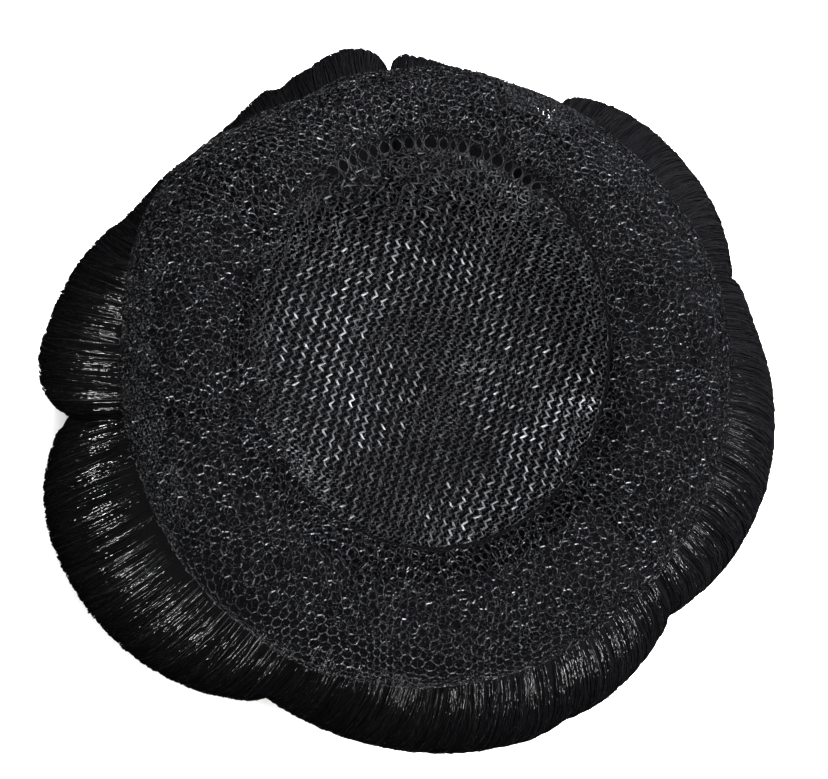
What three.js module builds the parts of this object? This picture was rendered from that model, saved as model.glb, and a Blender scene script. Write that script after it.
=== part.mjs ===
// Flower-shaped hair bun piece, lying on its front with its net base facing up.
// Seven loops of hair run from the middle of the front, over the rim and in under the net.
// The middle is hollow. A puffed net cover closes the back, and a cord joins it to a flat net panel.
// Millimetres, +Z up, origin on the surface that it lies on, under the middle of its outline.
import * as THREE from 'three';

// Hair petals: each is a wall of hair that bends from the front, round the rim, to the back
const LOOP_HEIGHT = 45;          // front to back of a loop where it is fullest
const LOOP_TURN_RADIUS = 46;     // distance from the middle at which a loop starts to bend round the rim
const TUCK_DEG = 102;            // how far a loop goes on past the level of its rim, in under the net
const RIM_WALL = 9;              // thickness of the hair at the rim
const FRONT_WALL = 8;            // thickness of the hair at the middle of the front
const TUCK_WALL = 3;             // thickness of the hair at its end under the net
const FRONT_DIMPLE = 6;          // depth of the hollow in the middle of the front
const FRONT_EYE_RADIUS = 2.5;    // small opening where the loops meet in the middle of the front
const PETAL_GAP = 0.7;           // crease between two neighbouring loops
const CREASE_SHARE = 0.17;       // share of its height that a loop loses at its creases
const CREASE_SHARPNESS = 4;      // from 2, a loop that is round across, to 6, a flat one with sharp creases
const CREASE_LEAN_DEG = 4;       // a crease leans this far, so that each loop lies a little over the next
const FRONT_SWIRL_DEG = 40;      // turn of the creases between the rim and the middle of the front
const SWIRL_RADIUS = 60;         // the turn of the creases starts this far from the middle

// Net cover and panel
const NET_RADIUS = 62.3;         // net cover at its widest
const NET_LONG_SHARE = 0.02;     // share by which the cover is longer along its long diameter
const NET_LONG_DEG = 35;         // direction of the long diameter
const NET_WALL = 1.2;            // two layers of net, one over the other
const EDGE_HEIGHT = 47;          // height of the cover where it is widest
const EDGE_UNDER = 4;            // how far the cover turns in below that before it meets the hair
const COVER_CROWN = 61;          // height that the cover's dome would reach if the seam did not pull it down
const DOME_POWER = 2.3;          // shape of the dome, from 2, an ellipse, to 4, a flat top with tight sides
const SEAM_PULL = 0.16;          // share of the cover's top over which the seam pulls it down
const HEM_WIDTH = 7;             // how far in from its widest the cover is turned over the backs of the loops
const SEAT_GAP = 0.35;           // between the hem and the hair that it lies on
const HEM_LEAST_RIM = 73;        // over a loop with a smaller rim the hem stays up, clear of the hair
const HEM_LOOKS_DEG = [-12, -8, -4, 0, 4];   // the hem clears the loops this far to either side of it
const SEAM_HALF = { x: 36.4, y: 41.4 };      // half diameters of the oval seam
const SEAM_CENTRE = { x: -1.3, y: 6.2 };     // the seam is a little off the middle of the cover
const SEAM_HEIGHT = 57.5;
const CORD_RADIUS = 0.7;
const CORD_GAP = 0.3;            // between the cord and the net on either side of it
const PANEL_WALL = 1.2;
const PANEL_BEVEL = 0.4;         // rounding of the panel's edge

// Facets
const RIM_STEPS = 14;
const FRONT_STEPS = 6;
const PETAL_STEP_DEG = 6;
const COVER_TURNS = 60;
const DOME_STEPS = 10;
const UNDER_STEPS = 3;
const CORD_SIDES = 6;

// One row for each loop of hair, anticlockwise, angles from +X towards +Y:
// start_deg, the crease where it starts, which is also where the row before it ends;
// fullest_deg, where its rim stands out most; reach, the rim's radius there;
// start_drop and end_drop, how much less the rim's radius is at the two creases;
// start_round and end_round, the shape of the fall to each crease: 0.8, hollow, 1, a slope, 6, a square shoulder
const PETALS = [
  { name: 'petal_right', start_deg: -40, fullest_deg: -8, reach: 78.7,
    start_drop: 7.5, start_round: 2, end_drop: 3.5, end_round: 1.5 },
  { name: 'petal_upper_right', start_deg: 20, fullest_deg: 38, reach: 78.5,
    start_drop: 4, start_round: 2, end_drop: 5, end_round: 3 },
  { name: 'petal_top', start_deg: 61.5, fullest_deg: 89, reach: 73,
    start_drop: 8, start_round: 2.2, end_drop: 5, end_round: 4 },
  { name: 'petal_upper_left', start_deg: 93.5, fullest_deg: 101, reach: 74.7,
    start_drop: 4.5, start_round: 4, end_drop: 7.2, end_round: 0.85 },
  { name: 'petal_left', start_deg: 133, fullest_deg: 174, reach: 77,
    start_drop: 9.5, start_round: 1.1, end_drop: 6.5, end_round: 3 },
  { name: 'petal_lower_left', start_deg: 185, fullest_deg: 208, reach: 80.3,
    start_drop: 9, start_round: 2.3, end_drop: 9.5, end_round: 2.2 },
  { name: 'petal_bottom', start_deg: 244, fullest_deg: 290, reach: 75.6,
    start_drop: 6.5, start_round: 1.4, end_drop: 4, end_round: 2.5 },
];

// One row for each dent in a loop's rim
const RIM_DENTS = [
  { at_deg: 10, width_deg: 5, depth: 0.5 },
  { at_deg: 82, width_deg: 6, depth: 1.6 },
  { at_deg: 108, width_deg: 3, depth: 0.8 },
  { at_deg: 124, width_deg: 6, depth: 1.2 },
  { at_deg: 147, width_deg: 7, depth: 1.8 },
  { at_deg: 296, width_deg: 3, depth: 0.9 },
];

// One row for each swelling (height above 0) or flat (below 0) in the outline of the net cover
const OUTLINE_SWELLS = [
  { at_deg: 145, width_deg: 20, height: 4.6 },
  { at_deg: 203, width_deg: 30, height: -1.8 },
  { at_deg: 95, width_deg: 24, height: 2 },
];

// One row for each pucker that runs out from the seam: reach is the share of the cover's top that it crosses
const PUCKERS = [
  { at_deg: 163, width_deg: 7, depth: 2, reach: 0.7 },
  { at_deg: 137, width_deg: 8, depth: 1.4, reach: 0.5 },
  { at_deg: 12, width_deg: 7, depth: 2.2, reach: 0.8 },
  { at_deg: -24, width_deg: 6, depth: 1.5, reach: 0.4 },
];

const hair = new THREE.MeshStandardMaterial({ color: 0x0b0b0d, roughness: 0.4, metalness: 0 });
const net = new THREE.MeshStandardMaterial({ color: 0x1b1c20, roughness: 0.6, metalness: 0 });
const panelNet = new THREE.MeshStandardMaterial({ color: 0x22232a, roughness: 0.55, metalness: 0 });
const cordYarn = new THREE.MeshStandardMaterial({ color: 0x111216, roughness: 0.7, metalness: 0 });

const radians = THREE.MathUtils.degToRad;
const lerp = THREE.MathUtils.lerp;

// A bell of height 1 at a row's at_deg, as wide as its width_deg, whichever way round it is counted
function bell(row, deg) {
  const away = THREE.MathUtils.euclideanModulo(deg - row.at_deg + 180, 360) - 180;
  return Math.exp(-((away / row.width_deg) ** 2));
}

// The line set inwards by wall(share) square to itself, where share runs from 0 to 1 along it
function insetLine(line, wall) {
  return line.map((point, i) => {
    const before = line[Math.max(i - 1, 0)];
    const after = line[Math.min(i + 1, line.length - 1)];
    const along = after.clone().sub(before).normalize();
    const outward = new THREE.Vector2(-along.y, along.x);
    return point.clone().addScaledVector(outward, -wall(i / (line.length - 1)));
  });
}

// The closed wall between two grids of points, rows[i][j], of the same size.
// Seen from outside, the outer grid's i runs to the right and its j runs up.
// A closed wall joins its last row to its first.
function wallGeometry(outer, inner, closed) {
  const rowCount = outer.length;
  const columns = outer[0].length;
  const points = [...outer.flat(), ...inner.flat()];
  const outside = (i, j) => (i % rowCount) * columns + j;
  const inside = (i, j) => outside(i, j) + rowCount * columns;
  const triangles = [];
  const quad = (a, b, c, d) => triangles.push(a, b, c, a, c, d);

  const spans = closed ? rowCount : rowCount - 1;
  const last = columns - 1;
  for (let i = 0; i < spans; i++) {
    for (let j = 0; j < last; j++) {
      quad(outside(i, j), outside(i + 1, j), outside(i + 1, j + 1), outside(i, j + 1));
      quad(inside(i, j), inside(i, j + 1), inside(i + 1, j + 1), inside(i + 1, j));
    }
    quad(outside(i, 0), inside(i, 0), inside(i + 1, 0), outside(i + 1, 0));
    quad(outside(i, last), outside(i + 1, last), inside(i + 1, last), inside(i, last));
  }
  if (!closed) {
    for (let j = 0; j < last; j++) {
      quad(outside(0, j), outside(0, j + 1), inside(0, j + 1), inside(0, j));
      quad(outside(spans, j), inside(spans, j), inside(spans, j + 1), outside(spans, j + 1));
    }
  }

  const geometry = new THREE.BufferGeometry().setFromPoints(points);
  geometry.setIndex(triangles);
  geometry.computeVertexNormals();
  return geometry;
}

// Hair petals

function rimRadius(petal, deg) {
  const before = deg < petal.fullest_deg;
  const crease = before ? petal.start_deg : petal.end_deg;
  const drop = before ? petal.start_drop : petal.end_drop;
  const round = before ? petal.start_round : petal.end_round;
  const share = (deg - petal.fullest_deg) / (crease - petal.fullest_deg);
  const dents = RIM_DENTS.reduce((sum, dent) => sum + dent.depth * bell(dent, deg), 0);
  return petal.reach - drop * share ** round - dents;
}

// How far a crease has turned by a place on it, in degrees
function creaseTurn(radius, height) {
  const inward = Math.max(0, 1 - radius / SWIRL_RADIUS);
  const lean = CREASE_LEAN_DEG * (height / (LOOP_HEIGHT / 2) - 1);
  return FRONT_SWIRL_DEG * inward ** 2 + lean;
}

// Section of a loop as (radius, height): its end under the net, the rim, then the front to the middle
function loopSection(rim, plump) {
  const middle = LOOP_HEIGHT / 2;
  const line = [];
  for (let i = 0; i <= RIM_STEPS; i++) {
    const turn = radians(lerp(TUCK_DEG, -90, i / RIM_STEPS));
    const radius = LOOP_TURN_RADIUS + (rim - LOOP_TURN_RADIUS) * Math.cos(turn);
    line.push(new THREE.Vector2(radius, middle + plump * middle * Math.sin(turn)));
  }
  const lowest = middle * (1 - plump);
  for (let i = 1; i <= FRONT_STEPS; i++) {
    const radius = lerp(LOOP_TURN_RADIUS, FRONT_EYE_RADIUS, i / FRONT_STEPS);
    const rise = (1 - (radius / LOOP_TURN_RADIUS) ** 2) ** 2;
    line.push(new THREE.Vector2(radius, lerp(lowest, FRONT_DIMPLE, rise)));
  }
  return line;
}

// Thickness of the hair at a share of the way along its section
function hairWall(share) {
  const rimShare = 0.4;
  return share < rimShare
    ? lerp(TUCK_WALL, RIM_WALL, Math.sin((share / rimShare) * Math.PI / 2))
    : lerp(RIM_WALL, FRONT_WALL, (share - rimShare) / (1 - rimShare));
}

// A place in a loop: across runs from 0 at the crease where it starts to 1 at the crease where it ends
function loopPoint(petal, across, place) {
  const gap = PETAL_GAP / 2 / place.x;
  const turn = creaseTurn(place.x, place.y);
  const angle = lerp(radians(petal.start_deg + turn) + gap, radians(petal.end_deg + turn) - gap, across);
  return new THREE.Vector3(place.x * Math.cos(angle), place.x * Math.sin(angle), place.y);
}

function makePetal(petal) {
  const steps = Math.ceil((petal.end_deg - petal.start_deg) / PETAL_STEP_DEG);
  const outer = [];
  const inner = [];
  for (let i = 0; i <= steps; i++) {
    const across = i / steps;
    const rim = rimRadius(petal, lerp(petal.start_deg, petal.end_deg, across));
    const plump = 1 - CREASE_SHARE * Math.abs(2 * across - 1) ** CREASE_SHARPNESS;
    const section = loopSection(rim, plump);
    outer.push(section.map((place) => loopPoint(petal, across, place)).reverse());
    inner.push(insetLine(section, hairWall).map((place) => loopPoint(petal, across, place)).reverse());
  }
  const mesh = new THREE.Mesh(wallGeometry(outer, inner, false), hair);
  mesh.name = petal.name;
  return mesh;
}

// Net cover

function coverRadius(deg) {
  const oval = 1 + NET_LONG_SHARE * Math.cos(2 * radians(deg - NET_LONG_DEG));
  return NET_RADIUS * oval + OUTLINE_SWELLS.reduce((sum, swell) => sum + swell.height * bell(swell, deg), 0);
}

// A place on the oval seam
function seamPoint(angle) {
  return new THREE.Vector2(
    SEAM_CENTRE.x + SEAM_HALF.x * Math.cos(angle),
    SEAM_CENTRE.y + SEAM_HALF.y * Math.sin(angle),
  );
}

// A pucker starts at the seam, is deepest a quarter of the way along it, and fades out at its end
function puckerDepth(deg, share) {
  return PUCKERS.reduce((sum, pucker) => {
    const along = Math.min(1, share / pucker.reach);
    return sum + pucker.depth * bell(pucker, deg) * Math.sin(Math.PI * Math.sqrt(along)) ** 2;
  }, 0);
}

// Rim of the loop under the hem in one direction, or of the fuller one where two meet
function rimUnderHem(deg) {
  const rims = HEM_LOOKS_DEG.map((look) => {
    const at = THREE.MathUtils.euclideanModulo(deg + look - PETALS[0].start_deg, 360) + PETALS[0].start_deg;
    return rimRadius(PETALS.find((petal) => at < petal.end_deg), at);
  });
  return Math.max(HEM_LEAST_RIM, ...rims);
}

// Height at which the hem lies on the back of a loop with this rim
function seatHeight(radius, rim) {
  const share = Math.max(0, radius - LOOP_TURN_RADIUS) / (rim - LOOP_TURN_RADIUS);
  return (LOOP_HEIGHT / 2) * (1 + Math.sqrt(1 - share ** 2)) + SEAT_GAP;
}

// Section of the cover in one direction as (distance from the seam, height): dome, underside, hem.
// lip is where it starts and width where it is widest; radiusAt(distance) is measured from the bun's middle.
function coverSection(deg, lip, width, radiusAt) {
  const line = [];
  for (let i = 0; i < DOME_STEPS; i++) {
    const share = Math.sin(radians(90 * i / DOME_STEPS));
    const dome = lerp(EDGE_HEIGHT, COVER_CROWN, (1 - share ** DOME_POWER) ** (1 / DOME_POWER));
    const pulled = (COVER_CROWN - SEAM_HEIGHT) * Math.exp(-share / SEAM_PULL) + puckerDepth(deg, share);
    line.push(new THREE.Vector2(lerp(lip, width, share), dome - pulled));
  }
  const under = width - EDGE_UNDER;
  const rim = rimUnderHem(deg);
  const underHeight = seatHeight(radiusAt(under), rim);
  for (let i = 0; i < UNDER_STEPS; i++) {
    const turn = radians(90 * i / UNDER_STEPS);
    line.push(new THREE.Vector2(
      under + EDGE_UNDER * Math.cos(turn),
      lerp(EDGE_HEIGHT, underHeight, Math.sin(turn)),
    ));
  }
  const hem = width - HEM_WIDTH;
  [under, hem].forEach((distance) => {
    line.push(new THREE.Vector2(distance, seatHeight(radiusAt(distance), rim)));
  });
  return line;
}

function makeCover() {
  const outer = [];
  const inner = [];
  for (let i = 0; i < COVER_TURNS; i++) {
    const deg = (360 * i) / COVER_TURNS;
    const angle = radians(deg);
    const seam = seamPoint(angle);
    const rim = new THREE.Vector2(Math.cos(angle), Math.sin(angle)).multiplyScalar(coverRadius(deg));
    const outward = rim.clone().sub(seam);
    const width = outward.length();
    outward.normalize();
    const spot = (distance) => seam.clone().addScaledVector(outward, distance);
    const section = coverSection(deg, CORD_RADIUS + CORD_GAP, width, (distance) => spot(distance).length());
    const placed = (place) => new THREE.Vector3(spot(place.x).x, spot(place.x).y, place.y);
    outer.push(section.map(placed).reverse());
    inner.push(insetLine(section, () => NET_WALL).map(placed).reverse());
  }
  const mesh = new THREE.Mesh(wallGeometry(outer, inner, true), net);
  mesh.name = 'net_cover';
  return mesh;
}

// Net panel and the cord round it

function makePanel() {
  const half = CORD_RADIUS + CORD_GAP;
  const outline = new THREE.Shape();
  outline.absellipse(SEAM_CENTRE.x, SEAM_CENTRE.y, SEAM_HALF.x - half, SEAM_HALF.y - half, 0, 2 * Math.PI);
  const geometry = new THREE.ExtrudeGeometry(outline, {
    depth: PANEL_WALL - 2 * PANEL_BEVEL,
    bevelSize: PANEL_BEVEL,
    bevelOffset: -PANEL_BEVEL,
    bevelThickness: PANEL_BEVEL,
    bevelSegments: 1,
    curveSegments: COVER_TURNS,
  });
  const mesh = new THREE.Mesh(geometry, panelNet);
  mesh.name = 'net_panel';
  mesh.position.z = SEAM_HEIGHT - PANEL_WALL / 2 + PANEL_BEVEL;
  return mesh;
}

function makeCord() {
  const geometry = new THREE.TorusGeometry(SEAM_HALF.y, CORD_RADIUS, CORD_SIDES, COVER_TURNS);
  geometry.scale(SEAM_HALF.x / SEAM_HALF.y, 1, 1);
  const mesh = new THREE.Mesh(geometry, cordYarn);
  mesh.name = 'seam_cord';
  mesh.position.set(SEAM_CENTRE.x, SEAM_CENTRE.y, SEAM_HEIGHT);
  return mesh;
}

PETALS.forEach((petal, i) => {
  const next = PETALS[(i + 1) % PETALS.length];
  petal.end_deg = next.start_deg > petal.start_deg ? next.start_deg : next.start_deg + 360;
});

const bun = new THREE.Group();
bun.add(...PETALS.map(makePetal), makeCover(), makePanel(), makeCord());

// The middle of the outline stands over the origin
const middle = new THREE.Box3().setFromObject(bun).getCenter(new THREE.Vector3());
bun.position.set(-middle.x, -middle.y, 0);

export default bun;
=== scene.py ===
"""Looks of a hair bun piece: loops of false hair round a hollow middle, closed by a puffed net.

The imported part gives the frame: metres, +Z up, origin on the surface that the bun lies on.
Shapes are worked out in millimetres round the middle of the bun, as the part's source does,
and are moved into that frame when they become meshes.
"""

import math
from collections import namedtuple

import bpy
import numpy as np
from bpy.props import FloatProperty, FloatVectorProperty, IntProperty, PointerProperty
from mathutils import Matrix, Vector


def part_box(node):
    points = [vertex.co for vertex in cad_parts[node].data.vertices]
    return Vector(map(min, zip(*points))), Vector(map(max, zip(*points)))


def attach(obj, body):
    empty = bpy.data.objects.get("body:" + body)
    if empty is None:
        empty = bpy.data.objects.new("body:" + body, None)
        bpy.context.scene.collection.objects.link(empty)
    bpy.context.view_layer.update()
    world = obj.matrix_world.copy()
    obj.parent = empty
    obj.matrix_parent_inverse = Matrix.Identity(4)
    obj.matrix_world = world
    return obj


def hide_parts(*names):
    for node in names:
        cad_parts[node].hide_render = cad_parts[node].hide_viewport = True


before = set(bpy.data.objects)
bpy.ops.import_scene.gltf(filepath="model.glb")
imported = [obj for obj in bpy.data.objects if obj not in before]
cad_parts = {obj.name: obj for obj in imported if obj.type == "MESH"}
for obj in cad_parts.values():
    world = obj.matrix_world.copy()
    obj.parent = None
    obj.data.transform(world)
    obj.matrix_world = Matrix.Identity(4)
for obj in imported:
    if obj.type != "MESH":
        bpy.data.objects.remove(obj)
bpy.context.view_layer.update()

bl_info = {
    "name": "Hair Bun Piece",
    "version": (1, 0, 0),
    "blender": (4, 5, 0),
    "location": "3D View > Sidebar > Hair Bun",
    "description": "Builds a hair bun piece from strands, net and cord on its packed frame",
    "category": "Add Mesh",
}

MM = 0.001
BAKE_MAP = "OFBake"
HAIR_SEED = 100            # of the first loop; the others have the next ones
COVER_SEED = 21
PANEL_SEED = 31

# Hair loops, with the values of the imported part, in millimetres and degrees
LOOP_HEIGHT = 45.0         # front to back of a loop where it is fullest
LOOP_TURN_RADIUS = 46.0    # distance from the middle at which a loop starts to bend round the rim
TUCK_DEG = 102.0           # how far a loop goes on past the level of its rim, in under the net
RIM_WALL = 9.0             # thickness of the hair at the rim
FRONT_WALL = 8.0           # thickness of the hair at the middle of the front
TUCK_WALL = 3.0            # thickness of the hair at its end under the net
FRONT_DIMPLE = 6.0         # depth of the hollow in the middle of the front
FRONT_EYE_RADIUS = 0.6     # the loose hair all but closes the opening in the middle of the front
PETAL_GAP = 0.1            # crease between two neighbouring loops, which the loose hair all but fills
CREASE_SHARE = 0.17        # share of its height that a loop loses at its creases
CREASE_SHARPNESS = 4.0     # from 2, a loop that is round across, to 6, a flat one with sharp creases
CREASE_LEAN_DEG = 4.0      # a crease leans this far, so that each loop lies a little over the next
FRONT_SWIRL_DEG = 40.0     # turn of the creases between the rim and the middle of the front
SWIRL_RADIUS = 60.0        # the turn of the creases starts this far from the middle
RIM_SHARE = 0.7            # share of a loop's line that bends round the rim; the rest is the front

# Net cover and panel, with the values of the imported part
NET_RADIUS = 62.3          # net cover at its widest
NET_LONG_SHARE = 0.02      # share by which the cover is longer along its long diameter
NET_LONG_DEG = 35.0        # direction of the long diameter
EDGE_HEIGHT = 47.0         # height of the cover where it is widest
EDGE_UNDER = 4.0           # how far the cover turns in below that before it meets the hair
COVER_CROWN = 61.0         # height that the cover's dome would reach if the seam did not pull it down
DOME_POWER = 2.3           # shape of the dome, from 2, an ellipse, to 4, a flat top with tight sides
SEAM_PULL = 0.16           # share of the cover's top over which the seam pulls it down
HEM_WIDTH = 7.0            # how far in from its widest the cover is turned over the backs of the loops
SEAT_GAP = 0.35            # between the hem and the hair that it lies on
HEM_LEAST_RIM = 73.0       # over a loop with a smaller rim the hem stays up, clear of the hair
HEM_LOOKS_DEG = (-12.0, -8.0, -4.0, 0.0, 4.0)
SEAM_HALF = np.array((36.4, 41.4))     # half diameters of the oval seam
SEAM_CENTRE = np.array((-1.3, 6.2))    # the seam is a little off the middle of the cover
SEAM_HEIGHT = 57.5

Loop = namedtuple("Loop", "name start fullest reach start_drop start_round end_drop end_round")
Bell = namedtuple("Bell", "at width height")
Pucker = namedtuple("Pucker", "at width height reach")

LOOPS = (
    Loop("right", -40.0, -8.0, 78.7, 7.5, 2.0, 3.5, 1.5),
    Loop("upper_right", 20.0, 38.0, 78.5, 4.0, 2.0, 5.0, 3.0),
    Loop("top", 61.5, 89.0, 73.0, 8.0, 2.2, 5.0, 4.0),
    Loop("upper_left", 93.5, 101.0, 74.7, 4.5, 4.0, 7.2, 0.85),
    Loop("left", 133.0, 174.0, 77.0, 9.5, 1.1, 6.5, 3.0),
    Loop("lower_left", 185.0, 208.0, 80.3, 9.0, 2.3, 9.5, 2.2),
    Loop("bottom", 244.0, 290.0, 75.6, 6.5, 1.4, 4.0, 2.5),
)
LOOP_ENDS = tuple(loop.start for loop in LOOPS[1:]) + (LOOPS[0].start + 360.0,)
RIM_DENTS = (
    Bell(10.0, 5.0, 0.5), Bell(82.0, 6.0, 1.6), Bell(108.0, 3.0, 0.8),
    Bell(124.0, 6.0, 1.2), Bell(147.0, 7.0, 1.8), Bell(296.0, 3.0, 0.9),
    Bell(112.5, 2.0, 1.5),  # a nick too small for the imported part
)
OUTLINE_SWELLS = (Bell(145.0, 20.0, 4.6), Bell(203.0, 30.0, -1.8), Bell(95.0, 24.0, 2.0))
PUCKERS = (
    Pucker(163.0, 7.0, 2.0, 0.7),
    Pucker(137.0, 8.0, 1.4, 0.5),
    Pucker(12.0, 7.0, 2.2, 0.8),
    Pucker(-24.0, 6.0, 1.5, 0.4),
)

# The bun's middle in the frame: the panel's box is centred on the seam
panel_low, panel_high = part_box("net_panel")
MIDDLE = np.array((
    (panel_low.x + panel_high.x) / 2 / MM - SEAM_CENTRE[0],
    (panel_low.y + panel_high.y) / 2 / MM - SEAM_CENTRE[1],
    0.0,
))

# Image that the photograph's frame gives, in pixels
IMAGE_WIDTH = 828
IMAGE_HEIGHT = 779
SENSOR_WIDTH = 36.0


def linear(hex_colour):
    """Linear red, green and blue of an sRGB hex value."""
    shares = [int(hex_colour[i:i + 2], 16) / 255 for i in (0, 2, 4)]
    return tuple(s / 12.92 if s <= 0.04045 else ((s + 0.055) / 1.055) ** 2.4 for s in shares)


# Settings that a user would change


def length_setting(name, description, size, low, high):
    """A length, from millimetres."""
    return FloatProperty(
        name=name, description=description, default=size * MM, min=low * MM, max=high * MM,
        precision=5, unit="LENGTH")


def angle_setting(name, description, degrees):
    return FloatProperty(
        name=name, description=description, default=math.radians(degrees), subtype="ANGLE", unit="ROTATION")


def power_setting(name, description, watts):
    return FloatProperty(name=name, description=description, default=watts, min=0.0, unit="POWER")


def colour_setting(name, description, hex_colour):
    return FloatVectorProperty(
        name=name, description=description, default=linear(hex_colour),
        size=3, min=0.0, max=1.0, subtype="COLOR")


class HairBunHairSettings(bpy.types.PropertyGroup):
    """Strands of the hair loops."""

    strand_diameter: length_setting(
        "Strand diameter", "Thickness of a strand, which stands for a few fibres", 0.28, 0.05, 1.0)
    strands_per_mm: FloatProperty(
        name="Strands per mm", description="Strands that cross each millimetre of the rim",
        default=9.0, min=1.0, max=20.0)
    lock_width: length_setting(
        "Lock width", "Width of the locks in which strands lie together", 1.7, 0.5, 6.0)
    stray_share: FloatProperty(
        name="Stray share", description="Share of the strands that stand off the surface",
        default=0.012, min=0.0, max=0.3, subtype="FACTOR")
    dark_colour: colour_setting("Darkest strands", "Colour of the darkest strands", "040405")
    light_colour: colour_setting("Lightest strands", "Colour of the lightest strands", "0A0A0B")


class HairBunNetSettings(bpy.types.PropertyGroup):
    """Hair net of the puffed cover."""

    mesh_side: length_setting("Mesh side", "Side of one six-sided mesh", 1.08, 0.6, 4.0)
    thread_diameter: length_setting("Thread diameter", "Thickness of the net's thread", 0.27, 0.05, 0.6)
    layer_gap: length_setting("Layer gap", "Distance from one layer of net to the next", 0.7, 0.2, 3.0)
    colour: colour_setting("Thread", "Colour of the net's thread", "040405")
    # painted glint: where it should glint, the thread's colour is painted up to this lighter colour
    painted_glint_colour: colour_setting("Flat thread", "Colour of the thread where it is drawn flat", "5A5B5E")


class HairBunPanelSettings(bpy.types.PropertyGroup):
    """Hair net of the flat panel, stretched so that its threads run in zigzags."""

    zigzag_period: length_setting("Zigzag period", "Length of one zig and one zag", 1.81, 1.0, 6.0)
    zigzag_swing: length_setting(
        "Zigzag swing", "Distance that a zigzag goes from side to side", 0.85, 0.2, 3.0)
    zigzag_pitch: length_setting("Zigzag pitch", "Distance from one zigzag to the next", 1.92, 1.0, 6.0)
    lean: angle_setting("Lean", "Angle by which the zigzags lean to the right", 16.0)
    thread_diameter: length_setting("Thread diameter", "Thickness of the panel's thread", 0.4, 0.05, 0.6)
    bar_diameter: length_setting(
        "Bar diameter", "Thickness of the thread that joins one zigzag to the next", 0.05, 0.03, 0.6)
    colour: colour_setting("Thread", "Colour of the panel's thread", "050506")
    # painted glint: where it should glint, the thread's colour is painted up to this lighter colour
    painted_glint_colour: colour_setting("Flat thread", "Colour of the thread where it is drawn flat", "5C5D60")


class HairBunCordSettings(bpy.types.PropertyGroup):
    """Cord in the oval seam."""

    diameter: length_setting("Cord diameter", "Thickness over the two plies of the cord", 0.9, 0.4, 3.0)
    twist: length_setting("Twist", "Length of one full turn of the plies", 2.4, 1.0, 10.0)
    colour: colour_setting("Yarn", "Colour of the cord's yarn", "030304")


class HairBunStageSettings(bpy.types.PropertyGroup):
    """Camera, floor and lights."""

    camera_tilt: angle_setting("Camera tilt", "Angle between the camera's view and straight down", 12.5)
    camera_side: angle_setting("Camera side", "Direction towards which the camera is tilted", 222.0)
    camera_distance: FloatProperty(
        name="Camera distance", description="Distance from the camera to the net",
        default=0.65, min=0.2, max=3.0, unit="LENGTH")
    focal_pixels: IntProperty(
        name="Focal length", description="Focal length in pixels of the image",
        default=3250, min=500, max=9000, subtype="PIXEL")
    floor_colour: colour_setting("Floor", "Colour of the floor", "F4F4F3")
    key_power: power_setting("Key power", "Power of the strip light at the left", 18.0)
    low_power: power_setting("Low power", "Power of the strip light below the bun in the picture", 10.0)
    glint_power: power_setting("Glint power", "Power of each of the two narrow strips overhead", 6.0)
    haze_power: power_setting("Haze power", "Power of the broad light at the upper right", 420.0)
    wash_power: power_setting("Wash power", "Power of the broad light overhead", 330.0)


# Shapes


class Shape:
    """Points, faces, a bake map and a shade for each face, gathered until they become one mesh."""

    def __init__(self):
        self.points, self.shades, self.faces, self.maps, self.slots = [], [], [], [], []
        self.count = 0

    def add(self, points, *parts, slot=0):
        """Points (n, 3), then by the part faces (f, corners), their maps (f, corners, 2) and shades."""
        for faces, places, shades in parts:
            self.faces.append(faces + self.count)
            self.maps.append(places)
            self.shades.append(np.broadcast_to(shades, len(faces)))
            self.slots.append(np.full(len(faces), slot))
        self.points.append(points)
        self.count += len(points)

    def make(self, name, replaced, slot, *materials, smooth=True):
        """Makes the mesh object in the frame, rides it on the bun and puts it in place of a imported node."""
        points = (np.concatenate(self.points) + MIDDLE) * MM
        corners = np.concatenate([faces.ravel() for faces in self.faces])
        sizes = np.concatenate([np.full(len(faces), faces.shape[1]) for faces in self.faces])
        mesh = bpy.data.meshes.new(name)
        mesh.vertices.add(len(points))
        mesh.vertices.foreach_set("co", points.astype(np.float32).ravel())
        mesh.loops.add(len(corners))
        mesh.loops.foreach_set("vertex_index", corners.astype(np.int32))
        mesh.polygons.add(len(sizes))
        mesh.polygons.foreach_set("loop_start", (np.cumsum(sizes) - sizes).astype(np.int32))
        mesh.polygons.foreach_set("material_index", np.concatenate(self.slots).astype(np.int32))
        places = np.concatenate([faces.reshape(-1, 2) for faces in self.maps])
        mesh.uv_layers.new(name=BAKE_MAP).data.foreach_set("uv", places.astype(np.float32).ravel())
        shade = mesh.attributes.new("shade", "FLOAT", "FACE")
        shade.data.foreach_set("value", np.concatenate(self.shades).astype(np.float32))
        mesh.update(calc_edges=True)
        if smooth:
            mesh.shade_smooth()
        for material in materials:
            mesh.materials.append(material)
        if mesh.validate():
            raise RuntimeError(f"{name} has faces that had to be mended")
        piece = bpy.data.objects.new(name, mesh)
        bpy.context.scene.collection.objects.link(piece)
        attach(piece, "root")
        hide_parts(replaced)
        return piece


def unit(vectors):
    return vectors / np.maximum(np.linalg.norm(vectors, axis=-1, keepdims=True), 1e-9)


def rays(angle):
    """Flat unit vectors (n, 2) at those angles."""
    return np.stack([np.cos(angle), np.sin(angle)], axis=-1)


def smooth_step(low, high, values):
    share = np.clip((values - low) / (high - low), 0, 1)
    return share * share * (3 - 2 * share)


def bell(row, deg):
    away = (deg - row.at + 180) % 360 - 180
    return np.exp(-((away / row.width) ** 2))


def ripple(rng, places, length, waves=7):
    """Smooth seeded unevenness from about -1 to 1 over flat places (n, 2), with waves about that long."""
    total = np.zeros(len(places))
    for _ in range(waves):
        turn = rng.uniform(0, 2 * math.pi)
        wave = 2 * math.pi / (length * rng.uniform(0.7, 1.5))
        along = places @ np.array((math.cos(turn), math.sin(turn)))
        total += np.sin(along * wave + rng.uniform(0, 2 * math.pi))
    return total / math.sqrt(waves)


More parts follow.
